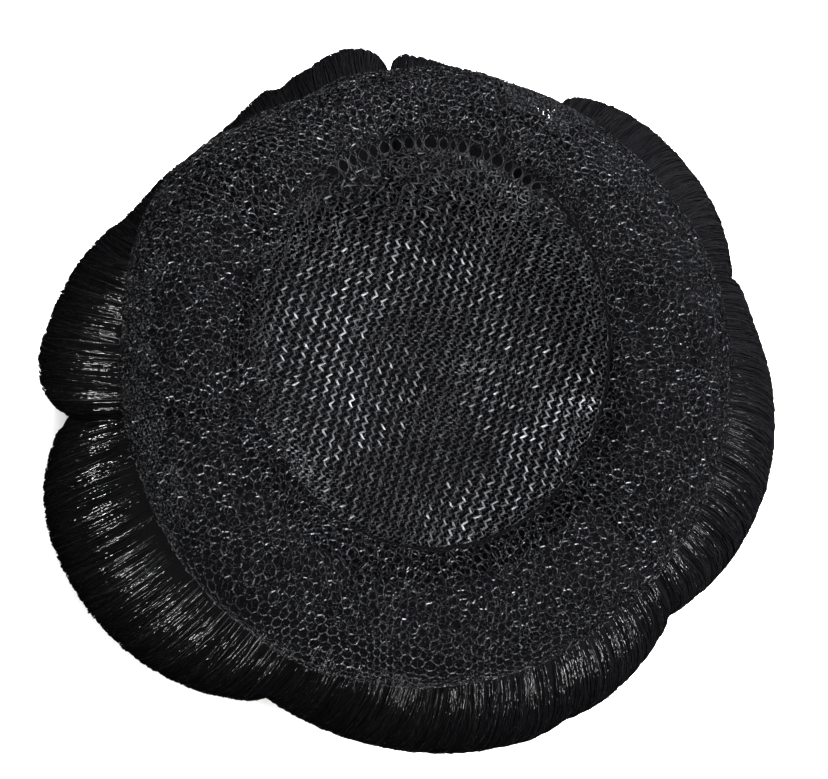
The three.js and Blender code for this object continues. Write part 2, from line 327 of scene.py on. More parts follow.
def tubes(lines, outward, radius, shades, sides, closed, map_low, map_high):
    """Tubes round lines (tube, place, xyz), as what Shape.add takes. outward is square to the lines."""
    count, places, _ = lines.shape
    if closed:
        along = np.roll(lines, -1, axis=1) - np.roll(lines, 1, axis=1)
    else:
        along = np.gradient(lines, axis=1)
    along = unit(along)
    across = unit(np.cross(along, outward))
    outward = np.cross(across, along)
    turn = 2 * math.pi * np.arange(sides) / sides
    ring = np.cos(turn)[:, None] * outward[:, :, None] + np.sin(turn)[:, None] * across[:, :, None]
    points = lines[:, :, None] + radius[:, :, None, None] * ring

    spans = places if closed else places - 1
    tube, place, side = np.meshgrid(
        np.arange(count), np.arange(spans), np.arange(sides), indexing="ij")
    corner_at = lambda k, j: (tube * places + k % places) * sides + j % sides
    quads = np.stack([
        corner_at(place, side), corner_at(place, side + 1),
        corner_at(place + 1, side + 1), corner_at(place + 1, side)], axis=-1).reshape(-1, 4)
    size = np.array(map_high) - np.array(map_low)
    spot = lambda k, j: np.stack([(tube + j / sides) / count, k / spans], axis=-1)
    maps = np.stack([
        spot(place, side), spot(place, side + 1),
        spot(place + 1, side + 1), spot(place + 1, side)], axis=-2).reshape(-1, 4, 2)
    parts = [(quads, maps * size + map_low, np.repeat(shades, spans * sides))]
    if not closed:
        base = (np.arange(count) * places * sides)[:, None]
        turns = np.arange(sides)
        last = base + (places - 1) * sides
        caps = np.concatenate([base + turns[::-1], last + turns])
        flat = np.stack([0.5 + 0.4 * np.cos(turn), 0.5 + 0.4 * np.sin(turn)], axis=-1)
        at = np.stack([np.arange(count) / count, np.zeros(count)], axis=-1)
        near = at[:, None] + flat * np.array((1 / count, 0.5 / spans))
        far = near + np.array((0, 1 - 0.5 / spans))
        parts.append((caps, np.concatenate([near[:, ::-1], far]) * size + map_low, np.tile(shades, 2)))
    return points.reshape(-1, 3), parts


# Hair


def rim_radius(loop, end, deg):
    """Rim of a loop in each direction."""
    before = deg < loop.fullest
    crease = np.where(before, loop.start, end)
    drop = np.where(before, loop.start_drop, loop.end_drop)
    rounded = np.where(before, loop.start_round, loop.end_round)
    share = np.clip((deg - loop.fullest) / (crease - loop.fullest), 0, 1)
    dents = sum(dent.height * bell(dent, deg) for dent in RIM_DENTS)
    return loop.reach - drop * share ** rounded - dents


def loop_section(rim, plump, along):
    """Radius and height at a share of the way along a loop: its end under the net, the rim, the front."""
    half = LOOP_HEIGHT / 2
    turn = np.radians(TUCK_DEG - (90 + TUCK_DEG) * np.clip(along / RIM_SHARE, 0, 1))
    bent_radius = LOOP_TURN_RADIUS + (rim - LOOP_TURN_RADIUS) * np.cos(turn)
    bent_height = half + plump * half * np.sin(turn)
    inward = np.clip((along - RIM_SHARE) / (1 - RIM_SHARE), 0, 1)
    front_radius = LOOP_TURN_RADIUS + (FRONT_EYE_RADIUS - LOOP_TURN_RADIUS) * inward
    rise = (1 - (front_radius / LOOP_TURN_RADIUS) ** 2) ** 2
    lowest = half * (1 - plump)
    front_height = lowest + (FRONT_DIMPLE - lowest) * rise
    on_front = along > RIM_SHARE
    return np.where(on_front, front_radius, bent_radius), np.where(on_front, front_height, bent_height)


def hair_wall(along):
    """Thickness of the hair at a share of the way along a loop."""
    thick_at = 0.4
    bend = np.sin(np.clip(along / thick_at, 0, 1) * math.pi / 2)
    front = np.clip((along - thick_at) / (1 - thick_at), 0, 1)
    return TUCK_WALL + (RIM_WALL - TUCK_WALL) * bend + (FRONT_WALL - RIM_WALL) * front


def loop_places(loop, end, across, along, depth):
    """Places in a loop and the ways out of it: across from crease to crease, depth in from its face."""
    step = 0.004
    deg = loop.start + (end - loop.start) * across
    rim = rim_radius(loop, end, deg)
    plump = 1 - CREASE_SHARE * np.abs(2 * across - 1) ** CREASE_SHARPNESS
    radius, height = loop_section(rim, plump, along)
    radius_on, height_on = loop_section(rim, plump, np.minimum(along + step, 1))
    radius_back, height_back = loop_section(rim, plump, np.maximum(along - step, 0))
    run, fall = radius_on - radius_back, height_on - height_back
    length = np.hypot(run, fall)
    out, up = -fall / length, run / length
    radius = np.maximum(radius - depth * out, 0.5)
    height = height - depth * up

    inward = np.maximum(0, 1 - radius / SWIRL_RADIUS)
    lean = CREASE_LEAN_DEG * (height / (LOOP_HEIGHT / 2) - 1)
    gap = PETAL_GAP / 2 / radius
    turn = np.radians(deg + FRONT_SWIRL_DEG * inward ** 2 + lean) + gap * (1 - 2 * across)
    places = np.stack([radius * np.cos(turn), radius * np.sin(turn), height], axis=-1)
    outward = np.stack([out * np.cos(turn), out * np.sin(turn), up], axis=-1)
    return places, outward


CORE_DEPTH = 0.45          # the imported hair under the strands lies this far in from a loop's face
CORE_STEP_DEG = 3.0
CORE_LENGTHS = 30
CORE_CLEARANCE = 0.3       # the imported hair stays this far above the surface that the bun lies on
STRAND_MAP_TOP = 0.86      # the strands' share of the bake map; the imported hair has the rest
CORE_MAP_LOW = 0.89
CORE_MAP_HEIGHT = 0.1
CORE_MAP_WIDTH = 0.48      # of its outside and of its inside
CORE_ENDS_MAP_LOW = 0.868
CORE_ENDS_MAP_HEIGHT = 0.012
CORE_SHADE = 0.5


def add_packed_hair(shape, loop, end):
    """The closed wall of packed hair that carries a loop's strands."""
    turns = math.ceil((end - loop.start) / CORE_STEP_DEG)
    across, along = np.meshgrid(
        np.linspace(0, 1, turns + 1), np.linspace(0, 1, CORE_LENGTHS + 1), indexing="ij")
    outer, _ = loop_places(loop, end, across, along, CORE_DEPTH)
    inner, _ = loop_places(loop, end, across, along, hair_wall(along))
    points = np.concatenate([outer.reshape(-1, 3), inner.reshape(-1, 3)])
    points[:, 2] = np.maximum(points[:, 2], CORE_CLEARANCE)
    columns = CORE_LENGTHS + 1
    outside = lambda i, j: i * columns + j
    inside = lambda i, j: outside(i, j) + across.size

    def spot(i, j, left):
        share = np.stack([left + CORE_MAP_WIDTH * i / turns, j / CORE_LENGTHS], axis=-1)
        return share * np.array((1, CORE_MAP_HEIGHT)) + np.array((0, CORE_MAP_LOW))

    i, j = (x.ravel() for x in np.meshgrid(np.arange(turns), np.arange(CORE_LENGTHS), indexing="ij"))
    along_first = ((i, j), (i, j + 1), (i + 1, j + 1), (i + 1, j))
    across_first = ((i, j), (i + 1, j), (i + 1, j + 1), (i, j + 1))
    faces = np.concatenate([
        np.stack([outside(*corner) for corner in along_first], axis=-1),
        np.stack([inside(*corner) for corner in across_first], axis=-1)])
    maps = np.concatenate([
        np.stack([spot(*corner, 0) for corner in along_first], axis=-2),
        np.stack([spot(*corner, 0.5) for corner in across_first], axis=-2)])
    i, j, last, far = np.arange(turns), np.arange(CORE_LENGTHS), CORE_LENGTHS, turns
    ends = np.concatenate([
        np.stack([outside(i, 0), outside(i + 1, 0), inside(i + 1, 0), inside(i, 0)], axis=-1),
        np.stack([outside(i, last), inside(i, last), inside(i + 1, last), outside(i + 1, last)], axis=-1),
        np.stack([outside(0, j), inside(0, j), inside(0, j + 1), outside(0, j + 1)], axis=-1),
        np.stack([outside(far, j), outside(far, j + 1), inside(far, j + 1), inside(far, j)], axis=-1)])
    strip = (np.arange(len(ends)) / len(ends))[:, None, None]
    square = np.array(((0, 0), (1, 0), (1, 1), (0, 1))) * np.array((0.9 / len(ends), CORE_ENDS_MAP_HEIGHT))
    end_maps = square + np.concatenate([strip, np.full_like(strip, CORE_ENDS_MAP_LOW)], axis=-1)
    shape.add(points, (faces, maps, CORE_SHADE), (ends, end_maps, CORE_SHADE), slot=1)


STRAND_RIM_PLACES = 17     # points of a strand on the bend round the rim
STRAND_FRONT_PLACES = 3    # and on the front
STRAND_SIDES = 3
STRAND_START = (0.06, 0.12)  # share of the way along at which a strand starts, under the net's hem
STRAND_REACH = (0.12, 1.0)  # share of the front over which it goes on
STRAND_THICKNESS = (0.75, 1.15)  # least and most, as shares of the diameter that is set
STRAND_TAPER = (0.6, 0.8, 0.25)  # shares of its thickness at its start, before its end and at its end
STRAND_CLEARANCE = 0.02    # a strand stays this far above the surface that the bun lies on

# How strands and locks go sideways, in millimetres
COMBED = {"lower_left": 30.0}  # hair that is combed towards its loop's start, for the whole way along
LOCK_SHIFT = 0.35          # share of its width by which a lock lies off its even place
GATHERED_SHARE = 0.5       # share of the strands that are drawn into their lock
LOOSE_PULL = 0.15          # how far the others follow it
LOCK_DRAW = 0.3            # share by which a lock is drawn together
STRAND_SLANT = 2.5         # for the whole way along
LOCK_SLANT = 6.0
SLANT_FROM = 0.3           # share of the way along at which slanting hair is in its even place
STRAND_WEAVE = 0.25
LOCK_WEAVE = 0.5

# How deep they lie under a loop's face, in millimetres
LEAST_DEPTH = 0.08
DEPTH_SPREAD = 0.3
DEPTH_POWER = 1.3          # from 1, strands spread evenly, to 3, most of them near the face
LOCK_CROWN = 0.06          # the middle of a lock stands this much higher than its edges
LOCK_DEPTHS = (-0.04, 0.08)
DEPTH_WEAVE = 0.06
HEM_PRESS = 0.7            # the net's hem presses the hair in
HEM_PRESS_FADES = (0.12, 0.2)  # shares of the way along
FRONT_SINK = 3.0           # at most, by the middle of the front
CREASE_SINK = 6.0          # at most, in a crease
CREASE_FROM = 0.95         # share of the way to a crease from which strands dive into it
END_SINK = 1.5             # a strand's end dives under the others
WALL_MARGIN = 0.5          # strands stay this far from the inside of the hair's wall
MOST_LIFT = 1.0            # and stand off its face no further than this
STRAY_LIFT = (0.15, 0.5)   # least and most of the few that stray
STRAY_PLACES = (0.15, 0.6)  # shares of the way along at which stray strands stand off
STRAY_LENGTH = 0.09


def add_strands(shape, loop, end, settings, rng):
    """A loop's strands, in locks that weave over each other and are pressed in by the net's hem."""
    diameter, lock_width = settings.strand_diameter / MM, settings.lock_width / MM
    rim_length = math.radians(end - loop.start) * loop.reach
    count = round(rim_length * settings.strands_per_mm)
    locks = max(4, round(rim_length / lock_width))
    start = (np.arange(count) + rng.random(count)) / count
    lock_at = (np.arange(locks) + 0.5 + rng.uniform(-LOCK_SHIFT, LOCK_SHIFT, locks)) / locks
    lock = np.abs(start[:, None] - lock_at).argmin(axis=1)
    within = (start - lock_at[lock]) * rim_length / (lock_width / 2)
    column = lambda values: np.asarray(values)[:, None]

    first = column(rng.uniform(*STRAND_START, count))
    bend = first + (RIM_SHARE - first) * np.linspace(0, 1, STRAND_RIM_PLACES)
    reach = column(rng.uniform(*STRAND_REACH, count)) * (1 - RIM_SHARE)
    front = RIM_SHARE + reach * np.linspace(0, 1, STRAND_FRONT_PLACES + 1)[1:]
    along = np.concatenate([bend, front], axis=1)
    front = np.clip((along - RIM_SHARE) / (1 - RIM_SHARE), 0, 1)

    def wave(low, high, by_lock=False):
        """A wave along each strand with that many turns, or one that the strands of a lock share."""
        turns = rng.uniform(low, high, count)
        phase = rng.uniform(0, 2 * math.pi, count)
        if by_lock:
            turns = rng.uniform(low, high, locks)[lock]
            phase = rng.uniform(0, 2 * math.pi, locks)[lock]
        return np.sin(2 * math.pi * column(turns) * along + column(phase))

    gathered = np.where(rng.random(count) < GATHERED_SHARE, 1.0, LOOSE_PULL)
    slant = rng.normal(0, STRAND_SLANT, count) + gathered * rng.normal(0, LOCK_SLANT, locks)[lock]
    sideways = (
        -LOCK_DRAW * column(gathered * within) * lock_width / 2
        + column(slant + COMBED.get(loop.name, 0.0) * (1 - start)) * (along - SLANT_FROM)
        + STRAND_WEAVE * wave(2, 6) + LOCK_WEAVE * column(gathered) * wave(1, 3, by_lock=True))
    across = np.clip(column(start) + sideways / rim_length, 0.001, 0.999)

    edge = np.clip((np.abs(2 * across - 1) - CREASE_FROM) / (1 - CREASE_FROM), 0, 1)
    stray = column(rng.random(count) < settings.stray_share)
    stray_at = column(rng.uniform(*STRAY_PLACES, count))
    lifted = stray * column(rng.uniform(*STRAY_LIFT, count))
    lifted = lifted * np.exp(-((along - stray_at) / STRAY_LENGTH) ** 2)
    depth = (
        LEAST_DEPTH + column(DEPTH_SPREAD * rng.random(count) ** DEPTH_POWER)
        + LOCK_CROWN * column(gathered * within ** 2) + column(rng.uniform(*LOCK_DEPTHS, locks)[lock])
        + DEPTH_WEAVE * wave(3, 6) + DEPTH_WEAVE * wave(2, 5, by_lock=True)
        + HEM_PRESS * (1 - smooth_step(*HEM_PRESS_FADES, along))
        + FRONT_SINK * front * column(rng.random(count))
        + CREASE_SINK * edge * column(rng.random(count) ** 2)
        - lifted)
    depth[:, -1] += END_SINK
    depth = np.clip(depth, -MOST_LIFT, hair_wall(along) - WALL_MARGIN)

    places, outward = loop_places(loop, end, across, along, depth)
    thickness = rng.uniform(*STRAND_THICKNESS, count) * diameter / 2
    taper = np.ones(along.shape[1])
    taper[0], taper[-2], taper[-1] = STRAND_TAPER
    radius = column(thickness) * taper
    places[:, :, 2] = np.maximum(places[:, :, 2], radius + STRAND_CLEARANCE)
    points, parts = tubes(
        places, outward, radius, rng.random(count), STRAND_SIDES, False, (0, 0), (1, STRAND_MAP_TOP))
    shape.add(points, *parts)


# Net


def flat_net(period, swing, pitch, half, turn, in_step=False):
    """Nodes (n, 2) and six-sided cells (f, 6) of a flat net: zigzags up the sheet, joined by bars.

    Neighbouring zigzags swing apart and together, or from side to side in step.
    """
    rows = 2 * math.ceil(half / period) + 1
    chains = math.ceil(half / pitch)
    chain, row = np.meshgrid(np.arange(-chains, chains + 1), np.arange(-rows, rows + 1), indexing="ij")
    right = (chain + row) % 2 == 0
    swung = row % 2 == 0 if in_step else right
    nodes = np.stack([chain * pitch + np.where(swung, 0.5, -0.5) * swing, row * period / 2], axis=-1)
    index = np.arange(nodes.shape[0] * nodes.shape[1]).reshape(nodes.shape[:2])
    low = right[:-1, :-2]
    cells = np.stack([
        index[:-1, :-2][low], index[1:, :-2][low], index[1:, 1:-1][low],
        index[1:, 2:][low], index[:-1, 2:][low], index[:-1, 1:-1][low]], axis=-1)
    spin = np.array(((math.cos(turn), math.sin(turn)), (-math.sin(turn), math.cos(turn))))
    return nodes.reshape(-1, 2) @ spin, cells


KEEL_DEPTH = 0.6           # a net's thread is drawn flat: its height as a share of its width
LEAST_SINE = 0.5           # two sides with a smaller sine between them count as in line
CORNER_REACH = 1.15        # thread radii by which a corner between those reaches into its cell
WALL_MAP_WIDTH = 0.001     # of the outermost threads' sides on the bake map


def middle_of(places, cells):
    return places[cells].mean(axis=1)


def side_chances(rng, cells):
    """A random share for each side of the cells, the same for the two cells that meet there."""
    pairs = np.sort(np.stack([cells, np.roll(cells, -1, axis=1)], axis=-1), axis=-1).reshape(-1, 2)
    _, at = np.unique(pairs @ np.array((cells.max() + 1, 1)), return_inverse=True)
    return rng.random(at.max() + 1)[at].reshape(cells.shape)


def add_threads(shape, nodes, outward, flat, cells, radii, tips, shades, map_low, map_size):
    """The net's thread along every side of its cells, as one closed mesh with a flat top and a keel below.

    At a node the thread has a keel and a corner towards the middle of each cell round it.
    radii are the thread's, for each side of a cell: a bar, two of a zigzag, a bar, two of a zigzag.
    tips are the heights of the corners, which roll the flat top of the thread to one side or the other.
    shades are those of the sides.
    """
    used, cells = np.unique(cells, return_inverse=True)
    cells = cells.reshape(-1, 6)
    nodes, outward, flat = nodes[used], outward[used], flat[used]
    count = len(nodes)
    radii = np.array(radii)
    radius = radii.max()
    reach = radius * CORNER_REACH
    back = unit(np.roll(nodes[cells], 1, axis=1) - nodes[cells])
    on = unit(np.roll(nodes[cells], -1, axis=1) - nodes[cells])
    sine = np.linalg.norm(np.cross(back, on), axis=-1, keepdims=True)
    between = (radii[:, None] * back + np.roll(radii, 1)[:, None] * on) / np.maximum(sine, LEAST_SINE)
    inward = reach * unit(nodes[cells].mean(axis=1, keepdims=True) - nodes[cells])
    clear = (sine > LEAST_SINE) & ((between * inward).sum(-1, keepdims=True) > 0)
    corner = nodes[cells] + np.where(clear, between, inward) + tips[:, :, None] * outward[cells]
    corner_flat = flat[cells] + reach * unit(flat[cells].mean(axis=1, keepdims=True) - flat[cells])
    keel = nodes - 2 * KEEL_DEPTH * radius * outward

    ahead = np.roll(cells, -1, axis=1)
    start, stop = cells.ravel(), ahead.ravel()
    tail = count + np.arange(cells.size)
    head = np.roll(tail.reshape(cells.shape), -1, axis=1).ravel()
    key, key_back = start * count + stop, stop * count + start
    order = np.argsort(key)
    twin = order[np.minimum(np.searchsorted(key[order], key_back), len(key) - 1)]
    met = key[twin] == key_back
    once = met & (start < stop)
    alone = ~met
    edge_nodes = np.unique(np.concatenate([start[alone], stop[alone]]))
    edge = np.zeros(count, dtype=int)
    edge[edge_nodes] = count + cells.size + np.arange(len(edge_nodes))

    bottom = np.stack([stop, start, tail, head], axis=-1)
    top = np.concatenate([
        np.stack([head[twin], tail[twin], head, tail], axis=-1)[once],
        np.stack([edge[start], edge[stop], head, tail], axis=-1)[alone]])
    wall = np.stack([start, stop, edge[stop], edge[start]], axis=-1)[alone]
    beside = np.where(met, head[twin] - count, -1)
    beyond = np.where(met, beside[beside], -1)
    side = np.arange(cells.size)
    ring = (beyond >= 0) & (side < beside) & (side < beyond)
    open_ring = met & (beyond < 0)
    joint = np.concatenate([
        np.stack([tail, count + beyond, count + beside], axis=-1)[ring],
        np.stack([edge[start], count + beside, tail], axis=-1)[open_ring]])

    points = np.concatenate([keel, corner.reshape(-1, 3), nodes[edge_nodes]])
    low = flat.min(axis=0)
    span = (flat.max(axis=0) - low).max() + 4 * reach
    everywhere = np.concatenate([flat, corner_flat.reshape(-1, 2), flat[edge_nodes]])
    spots = (everywhere - low + 2 * reach) / span
    half = np.array((0.5, 1.0)) * map_size
    on_top = lambda faces: spots[faces] * half + map_low
    below = np.array((0.5 * map_size, 0))
    wall_map = on_top(wall)
    wall_map[:, 2:] += WALL_MAP_WIDTH
    shades = shades.ravel()
    joint_shades = np.concatenate([
        (shades + shades[beside] + shades[beyond])[ring] / 3, (shades + shades[beside])[open_ring] / 2])
    shape.add(
        points, (top, on_top(top), np.concatenate([shades[once], shades[alone]])),
        (joint, on_top(joint), joint_shades), (bottom, on_top(bottom) + below, shades),
        (wall, wall_map, shades[alone]))


def cover_radius(deg):
    oval = 1 + NET_LONG_SHARE * np.cos(2 * np.radians(deg - NET_LONG_DEG))
    return NET_RADIUS * oval + sum(swell.height * bell(swell, deg) for swell in OUTLINE_SWELLS)


def cover_columns(deg):
    """In each direction, where the cover leaves the seam, the way it goes and how far it is to its edge."""
    ray = rays(np.radians(deg))
    seam = SEAM_CENTRE + SEAM_HALF * ray
    out = cover_radius(deg)[:, None] * ray - seam
    return seam, unit(out), np.linalg.norm(out, axis=-1)


def rim_under_hem(deg):
    """Rim of the loop under the hem in each direction, or of the fuller one where two meet."""
    fullest = np.full(len(deg), HEM_LEAST_RIM)
    for look in HEM_LOOKS_DEG:
        at = (deg + look - LOOPS[0].start) % 360 + LOOPS[0].start
        for loop, end in zip(LOOPS, LOOP_ENDS):
            here = (at >= loop.start) & (at < end)
            fullest = np.maximum(fullest, np.where(here, rim_radius(loop, end, at), 0))
    return fullest


def seat_height(radius, rim):
    share = np.maximum(0, radius - LOOP_TURN_RADIUS) / (rim - LOOP_TURN_RADIUS)
    return (LOOP_HEIGHT / 2) * (1 + np.sqrt(1 - share ** 2)) + SEAT_GAP


NET_LIP = 0.3              # the net is sewn in this close to the middle of the cord
NET_GIVE = 0.85            # the cover's net is stretched: this much net lies in each unit of its section
DOME_PLACES = 28
UNDER_PLACES = 9
TURN_ROUNDS = 12           # rounds in which the direction of a node of net is found
TURN_LEAST_RADIUS = 20.0   # a node nearer to the middle is turned as if it lay here


def cover_sections(deg, seam, way, width):
    """Distances from the seam and heights of the cover's dome, underside and hem in each direction."""
    share = np.sin(np.linspace(0, math.pi / 2, DOME_PLACES))[None]
    dome = EDGE_HEIGHT + (COVER_CROWN - EDGE_HEIGHT) * (1 - share ** DOME_POWER) ** (1 / DOME_POWER)
    pulled = (COVER_CROWN - SEAM_HEIGHT) * np.exp(-share / SEAM_PULL)
    for pucker in PUCKERS:
        fade = np.sin(math.pi * np.sqrt(np.minimum(1, share / pucker.reach))) ** 2
        pulled = pulled + pucker.height * bell(pucker, deg)[:, None] * fade
    width = width[:, None]
    distance = [NET_LIP + (width - NET_LIP) * share]
    height = [dome - pulled]

    rim = rim_under_hem(deg)
    radius_at = lambda d: np.linalg.norm(seam + way * d, axis=-1)
    under = width - EDGE_UNDER
    under_height = seat_height(radius_at(under), rim)[:, None]
    turn = np.linspace(0, math.pi / 2, UNDER_PLACES)[None, 1:]
    distance.append(under + EDGE_UNDER * np.cos(turn))
    height.append(EDGE_HEIGHT + (under_height - EDGE_HEIGHT) * np.sin(turn))
    hem = width - HEM_WIDTH
    distance.append(hem)
    height.append(seat_height(radius_at(hem), rim)[:, None])
    return np.concatenate(distance, axis=1), np.concatenate(height, axis=1)


def on_cover(flat):
    """Where the flat net's nodes lie on the cover.

    Gives their directions, how far they are from the seam, the places where the cover leaves the seam,
    the ways it goes, and its sections: distances from the seam, heights and lengths of net so far.
    """
    deg = np.degrees(np.arctan2(flat[:, 1], flat[:, 0]))
    for _ in range(TURN_ROUNDS):
        seam, way, width = cover_columns(deg)
        off = flat - seam
        astray = way[:, 0] * off[:, 1] - way[:, 1] * off[:, 0]
        deg = deg + np.degrees(astray / np.maximum(np.linalg.norm(flat, axis=1), TURN_LEAST_RADIUS))
    seam, way, width = cover_columns(deg)
    gone = ((flat - seam) * way).sum(axis=1)
    distance, height = cover_sections(deg, seam, way, width)
    steps = np.hypot(np.diff(distance, axis=1), np.diff(height, axis=1))
    length = np.concatenate([np.zeros((len(deg), 1)), np.cumsum(steps, axis=1)], axis=1)
    return deg, gone, seam, way, distance, height, length


# How the net of the cover lies, in millimetres
COVER_SHEET = 92.0         # half width of the flat sheet that is laid over the cover
COVER_PULL = 0.9           # meshes are pulled out of line by about this much
COVER_PULL_WAVE = 22.0
CROOKED = 0.14             # share of a mesh's side by which its knots are out of place
BARE_STRAIGHTER = 0.1      # and by how much less where the first layer lies bare
CELL_MARGIN = 0.15         # share of a mesh's side by which the net stays inside its ends
SEAM_INSIDE = 30.0         # the sheet has no meshes this near to the seam's middle
FREE_FROM = 6.0            # the net hangs free of the seam from this distance on
GATHER_HEIGHT = 0.3        # the seam gathers the net in small folds
GATHER_FOLDS = 46          # all the way round
GATHER_FADE = 5.0
GATHER_WAVE = 30.0
LOOSE_HEIGHT = 0.25        # further out it rises and falls by about this much
LOOSE_WAVE = 16.0
LOOSE_KNOTS = 0.1
COVER_ROLL = 0.06          # height by which the thread round a cell of the cover stands up or down
CORNER_ROLL = 0.01
SHORT_LAYERS = Bell(252.0, 45.0, 1.0)  # where the layers under the first end short of the cover's edge
BARE_FROM = (46.0, 60.0)   # distances from the middle between which the first layer comes to lie bare there
SEAM_LAP = Bell(185.0, 50.0, 1.0)  # where the net laps over the seam, onto the panel
SEAM_LAP_FULL = 0.5        # share of that at which the net is no longer held at the seam
LAP_RISE = 0.8             # the net rises this far to pass over the seam
FOLD_RAG = 9.0             # the ends of a folded patch of net are ragged, with waves about this long
FOLD_RAG_SHARE = 0.1       # by this share of its distance from the seam
FOLD_RAG_DEG = 3.5         # and by this angle at its sides

# How its threads shine: shades that paint glints, haze and shade into the thread's colour and also set its
# gloss
PAINTED_HAZE_FROM = (10.0, 55.0)   # distances above the middle between which the net's colour is painted paler, as painted haze
PAINTED_HAZE_SHADE = 0.085
UNDER_FADE = 3.0           # past its edge the net turns under, and within this distance it is given painted shade
UNDER_PAINTED_SHADE = 0.9           # share of the thread's painted sheen taken away there, as painted shade that also dulls its gloss
DIM_FROM = (-10.0, 55.0)   # distances to the upper right of the middle between which the painted glints grow dimmer
DIM_SHARE = 0.35
DIM_WAY = np.array((0.7, 0.7))
GLINT_SHARES = np.array((1.3, 0.18, 0.18, 1.3, 0.18, 0.18))  # painted glints fall mostly on a cell's bars
GLINT_RARITY = 4           # from 1, many half-bright threads, to 6, a few bright ones


def add_cover_layer(shape, settings, rng, layer, depth):
    """One layer of the cover's net, laid from the seam over the dome and round to the hem."""
    side = settings.mesh_side / MM * layer.mesh_share
    flat, cells = flat_net(side * math.sqrt(3), side / 2, side * 1.5, COVER_SHEET, math.radians(layer.turn))
    pulled = np.stack([ripple(rng, flat, COVER_PULL_WAVE) for _ in range(2)], axis=-1)
    turned = np.degrees(np.arctan2(flat[:, 1], flat[:, 0]))
    bare = bell(SHORT_LAYERS, turned) * smooth_step(*BARE_FROM, np.linalg.norm(flat, axis=1))
    crooked = side * (CROOKED - BARE_STRAIGHTER * bare)
    flat = flat + COVER_PULL * pulled + crooked[:, None] * rng.normal(0, 1, flat.shape)
    deg, gone, seam, way, distance, height, length = on_cover(flat)

    # The cells that this layer keeps, between its ends and its sides
    whole = NET_GIVE * length[:, -1]
    middle = middle_of(gone, cells)
    outside = np.linalg.norm(middle_of(flat, cells) - SEAM_CENTRE, axis=1) > SEAM_INSIDE
    end = middle_of(whole * (layer.reach - layer.short * bell(SHORT_LAYERS, deg)), cells)
    ragged = ripple(rng, flat, FOLD_RAG)
    begin = middle_of(layer.start * whole * (1 + FOLD_RAG_SHARE * ragged), cells)
    astray = np.abs((deg - layer.sector_at + 180) % 360 - 180)[cells].max(axis=1)
    astray = astray + FOLD_RAG_DEG * middle_of(ragged, cells)
    lap = middle_of(layer.lap * bell(SEAM_LAP, deg), cells)
    margin = CELL_MARGIN * side
    inside = (middle > begin - lap + margin) & (middle < end - margin)
    kept = cells[outside & inside & (astray < layer.sector_half)]

    # Places of the knots along the cover's sections
    run = np.clip(gone / NET_GIVE, 0, length[:, -1])
    step = np.clip((length < run[:, None]).sum(axis=1) - 1, 0, length.shape[1] - 2)
    pick = lambda table, at: np.take_along_axis(table, at[:, None], axis=1)[:, 0]
    share = (run - pick(length, step)) / (pick(length, step + 1) - pick(length, step))
    across = pick(distance, step + 1) - pick(distance, step)
    rise = pick(height, step + 1) - pick(height, step)
    lapped = np.minimum(gone, 0) * smooth_step(0, SEAM_LAP_FULL, bell(SEAM_LAP, deg))
    at = pick(distance, step) + share * across + lapped
    up = pick(height, step) + share * rise + LAP_RISE * smooth_step(0, LAP_RISE, -lapped)
    slope = np.hypot(across, rise)
    out = np.concatenate([way * (-rise / slope)[:, None], (across / slope)[:, None]], axis=1)
    nodes = np.concatenate([seam + way * at[:, None], up[:, None]], axis=1)
    free = smooth_step(0, FREE_FROM, run)
    folds = np.sin(GATHER_FOLDS * np.radians(deg) + ripple(rng, flat, GATHER_WAVE))
    gather = GATHER_HEIGHT * folds * np.exp(-run / GATHER_FADE) * free
    loose = LOOSE_HEIGHT * ripple(rng, flat, LOOSE_WAVE) + LOOSE_KNOTS * rng.normal(0, 1, len(flat))
    nodes = nodes + out * (gather + loose * free - depth * free)[:, None]
    radii = np.full(6, layer.thread_share * settings.thread_diameter / MM / 2)
    tips = rng.normal(0, COVER_ROLL, (len(kept), 1)) + rng.normal(0, CORNER_ROLL, kept.shape)

    # Shades of the threads, painted into their colour: painted glints, painted haze towards the top, painted
    # shade where the net turns under
    # painted haze: the thread's colour is painted paler towards the top
    painted_haze = PAINTED_HAZE_SHADE * smooth_step(*PAINTED_HAZE_FROM, flat[:, 1])
    least = middle_of(layer.least + layer.bare_shade * bare + painted_haze, kept)[:, None]
    # painted shade where the net turns under its edge
    beneath = smooth_step(0, UNDER_FADE, middle_of(run - length[:, DOME_PLACES - 1], kept))[:, None]
    dimmed = DIM_SHARE * smooth_step(*DIM_FROM, middle_of(flat @ DIM_WAY, kept))[:, None]
    glints = (1 - least) * (1 - dimmed) * GLINT_SHARES * side_chances(rng, kept) ** GLINT_RARITY
    shades = layer.shade * (least + glints) * (1 - UNDER_PAINTED_SHADE * beneath)
    add_threads(shape, nodes, out, flat, kept, radii, tips, shades, np.array(layer.map_low), layer.map_size)


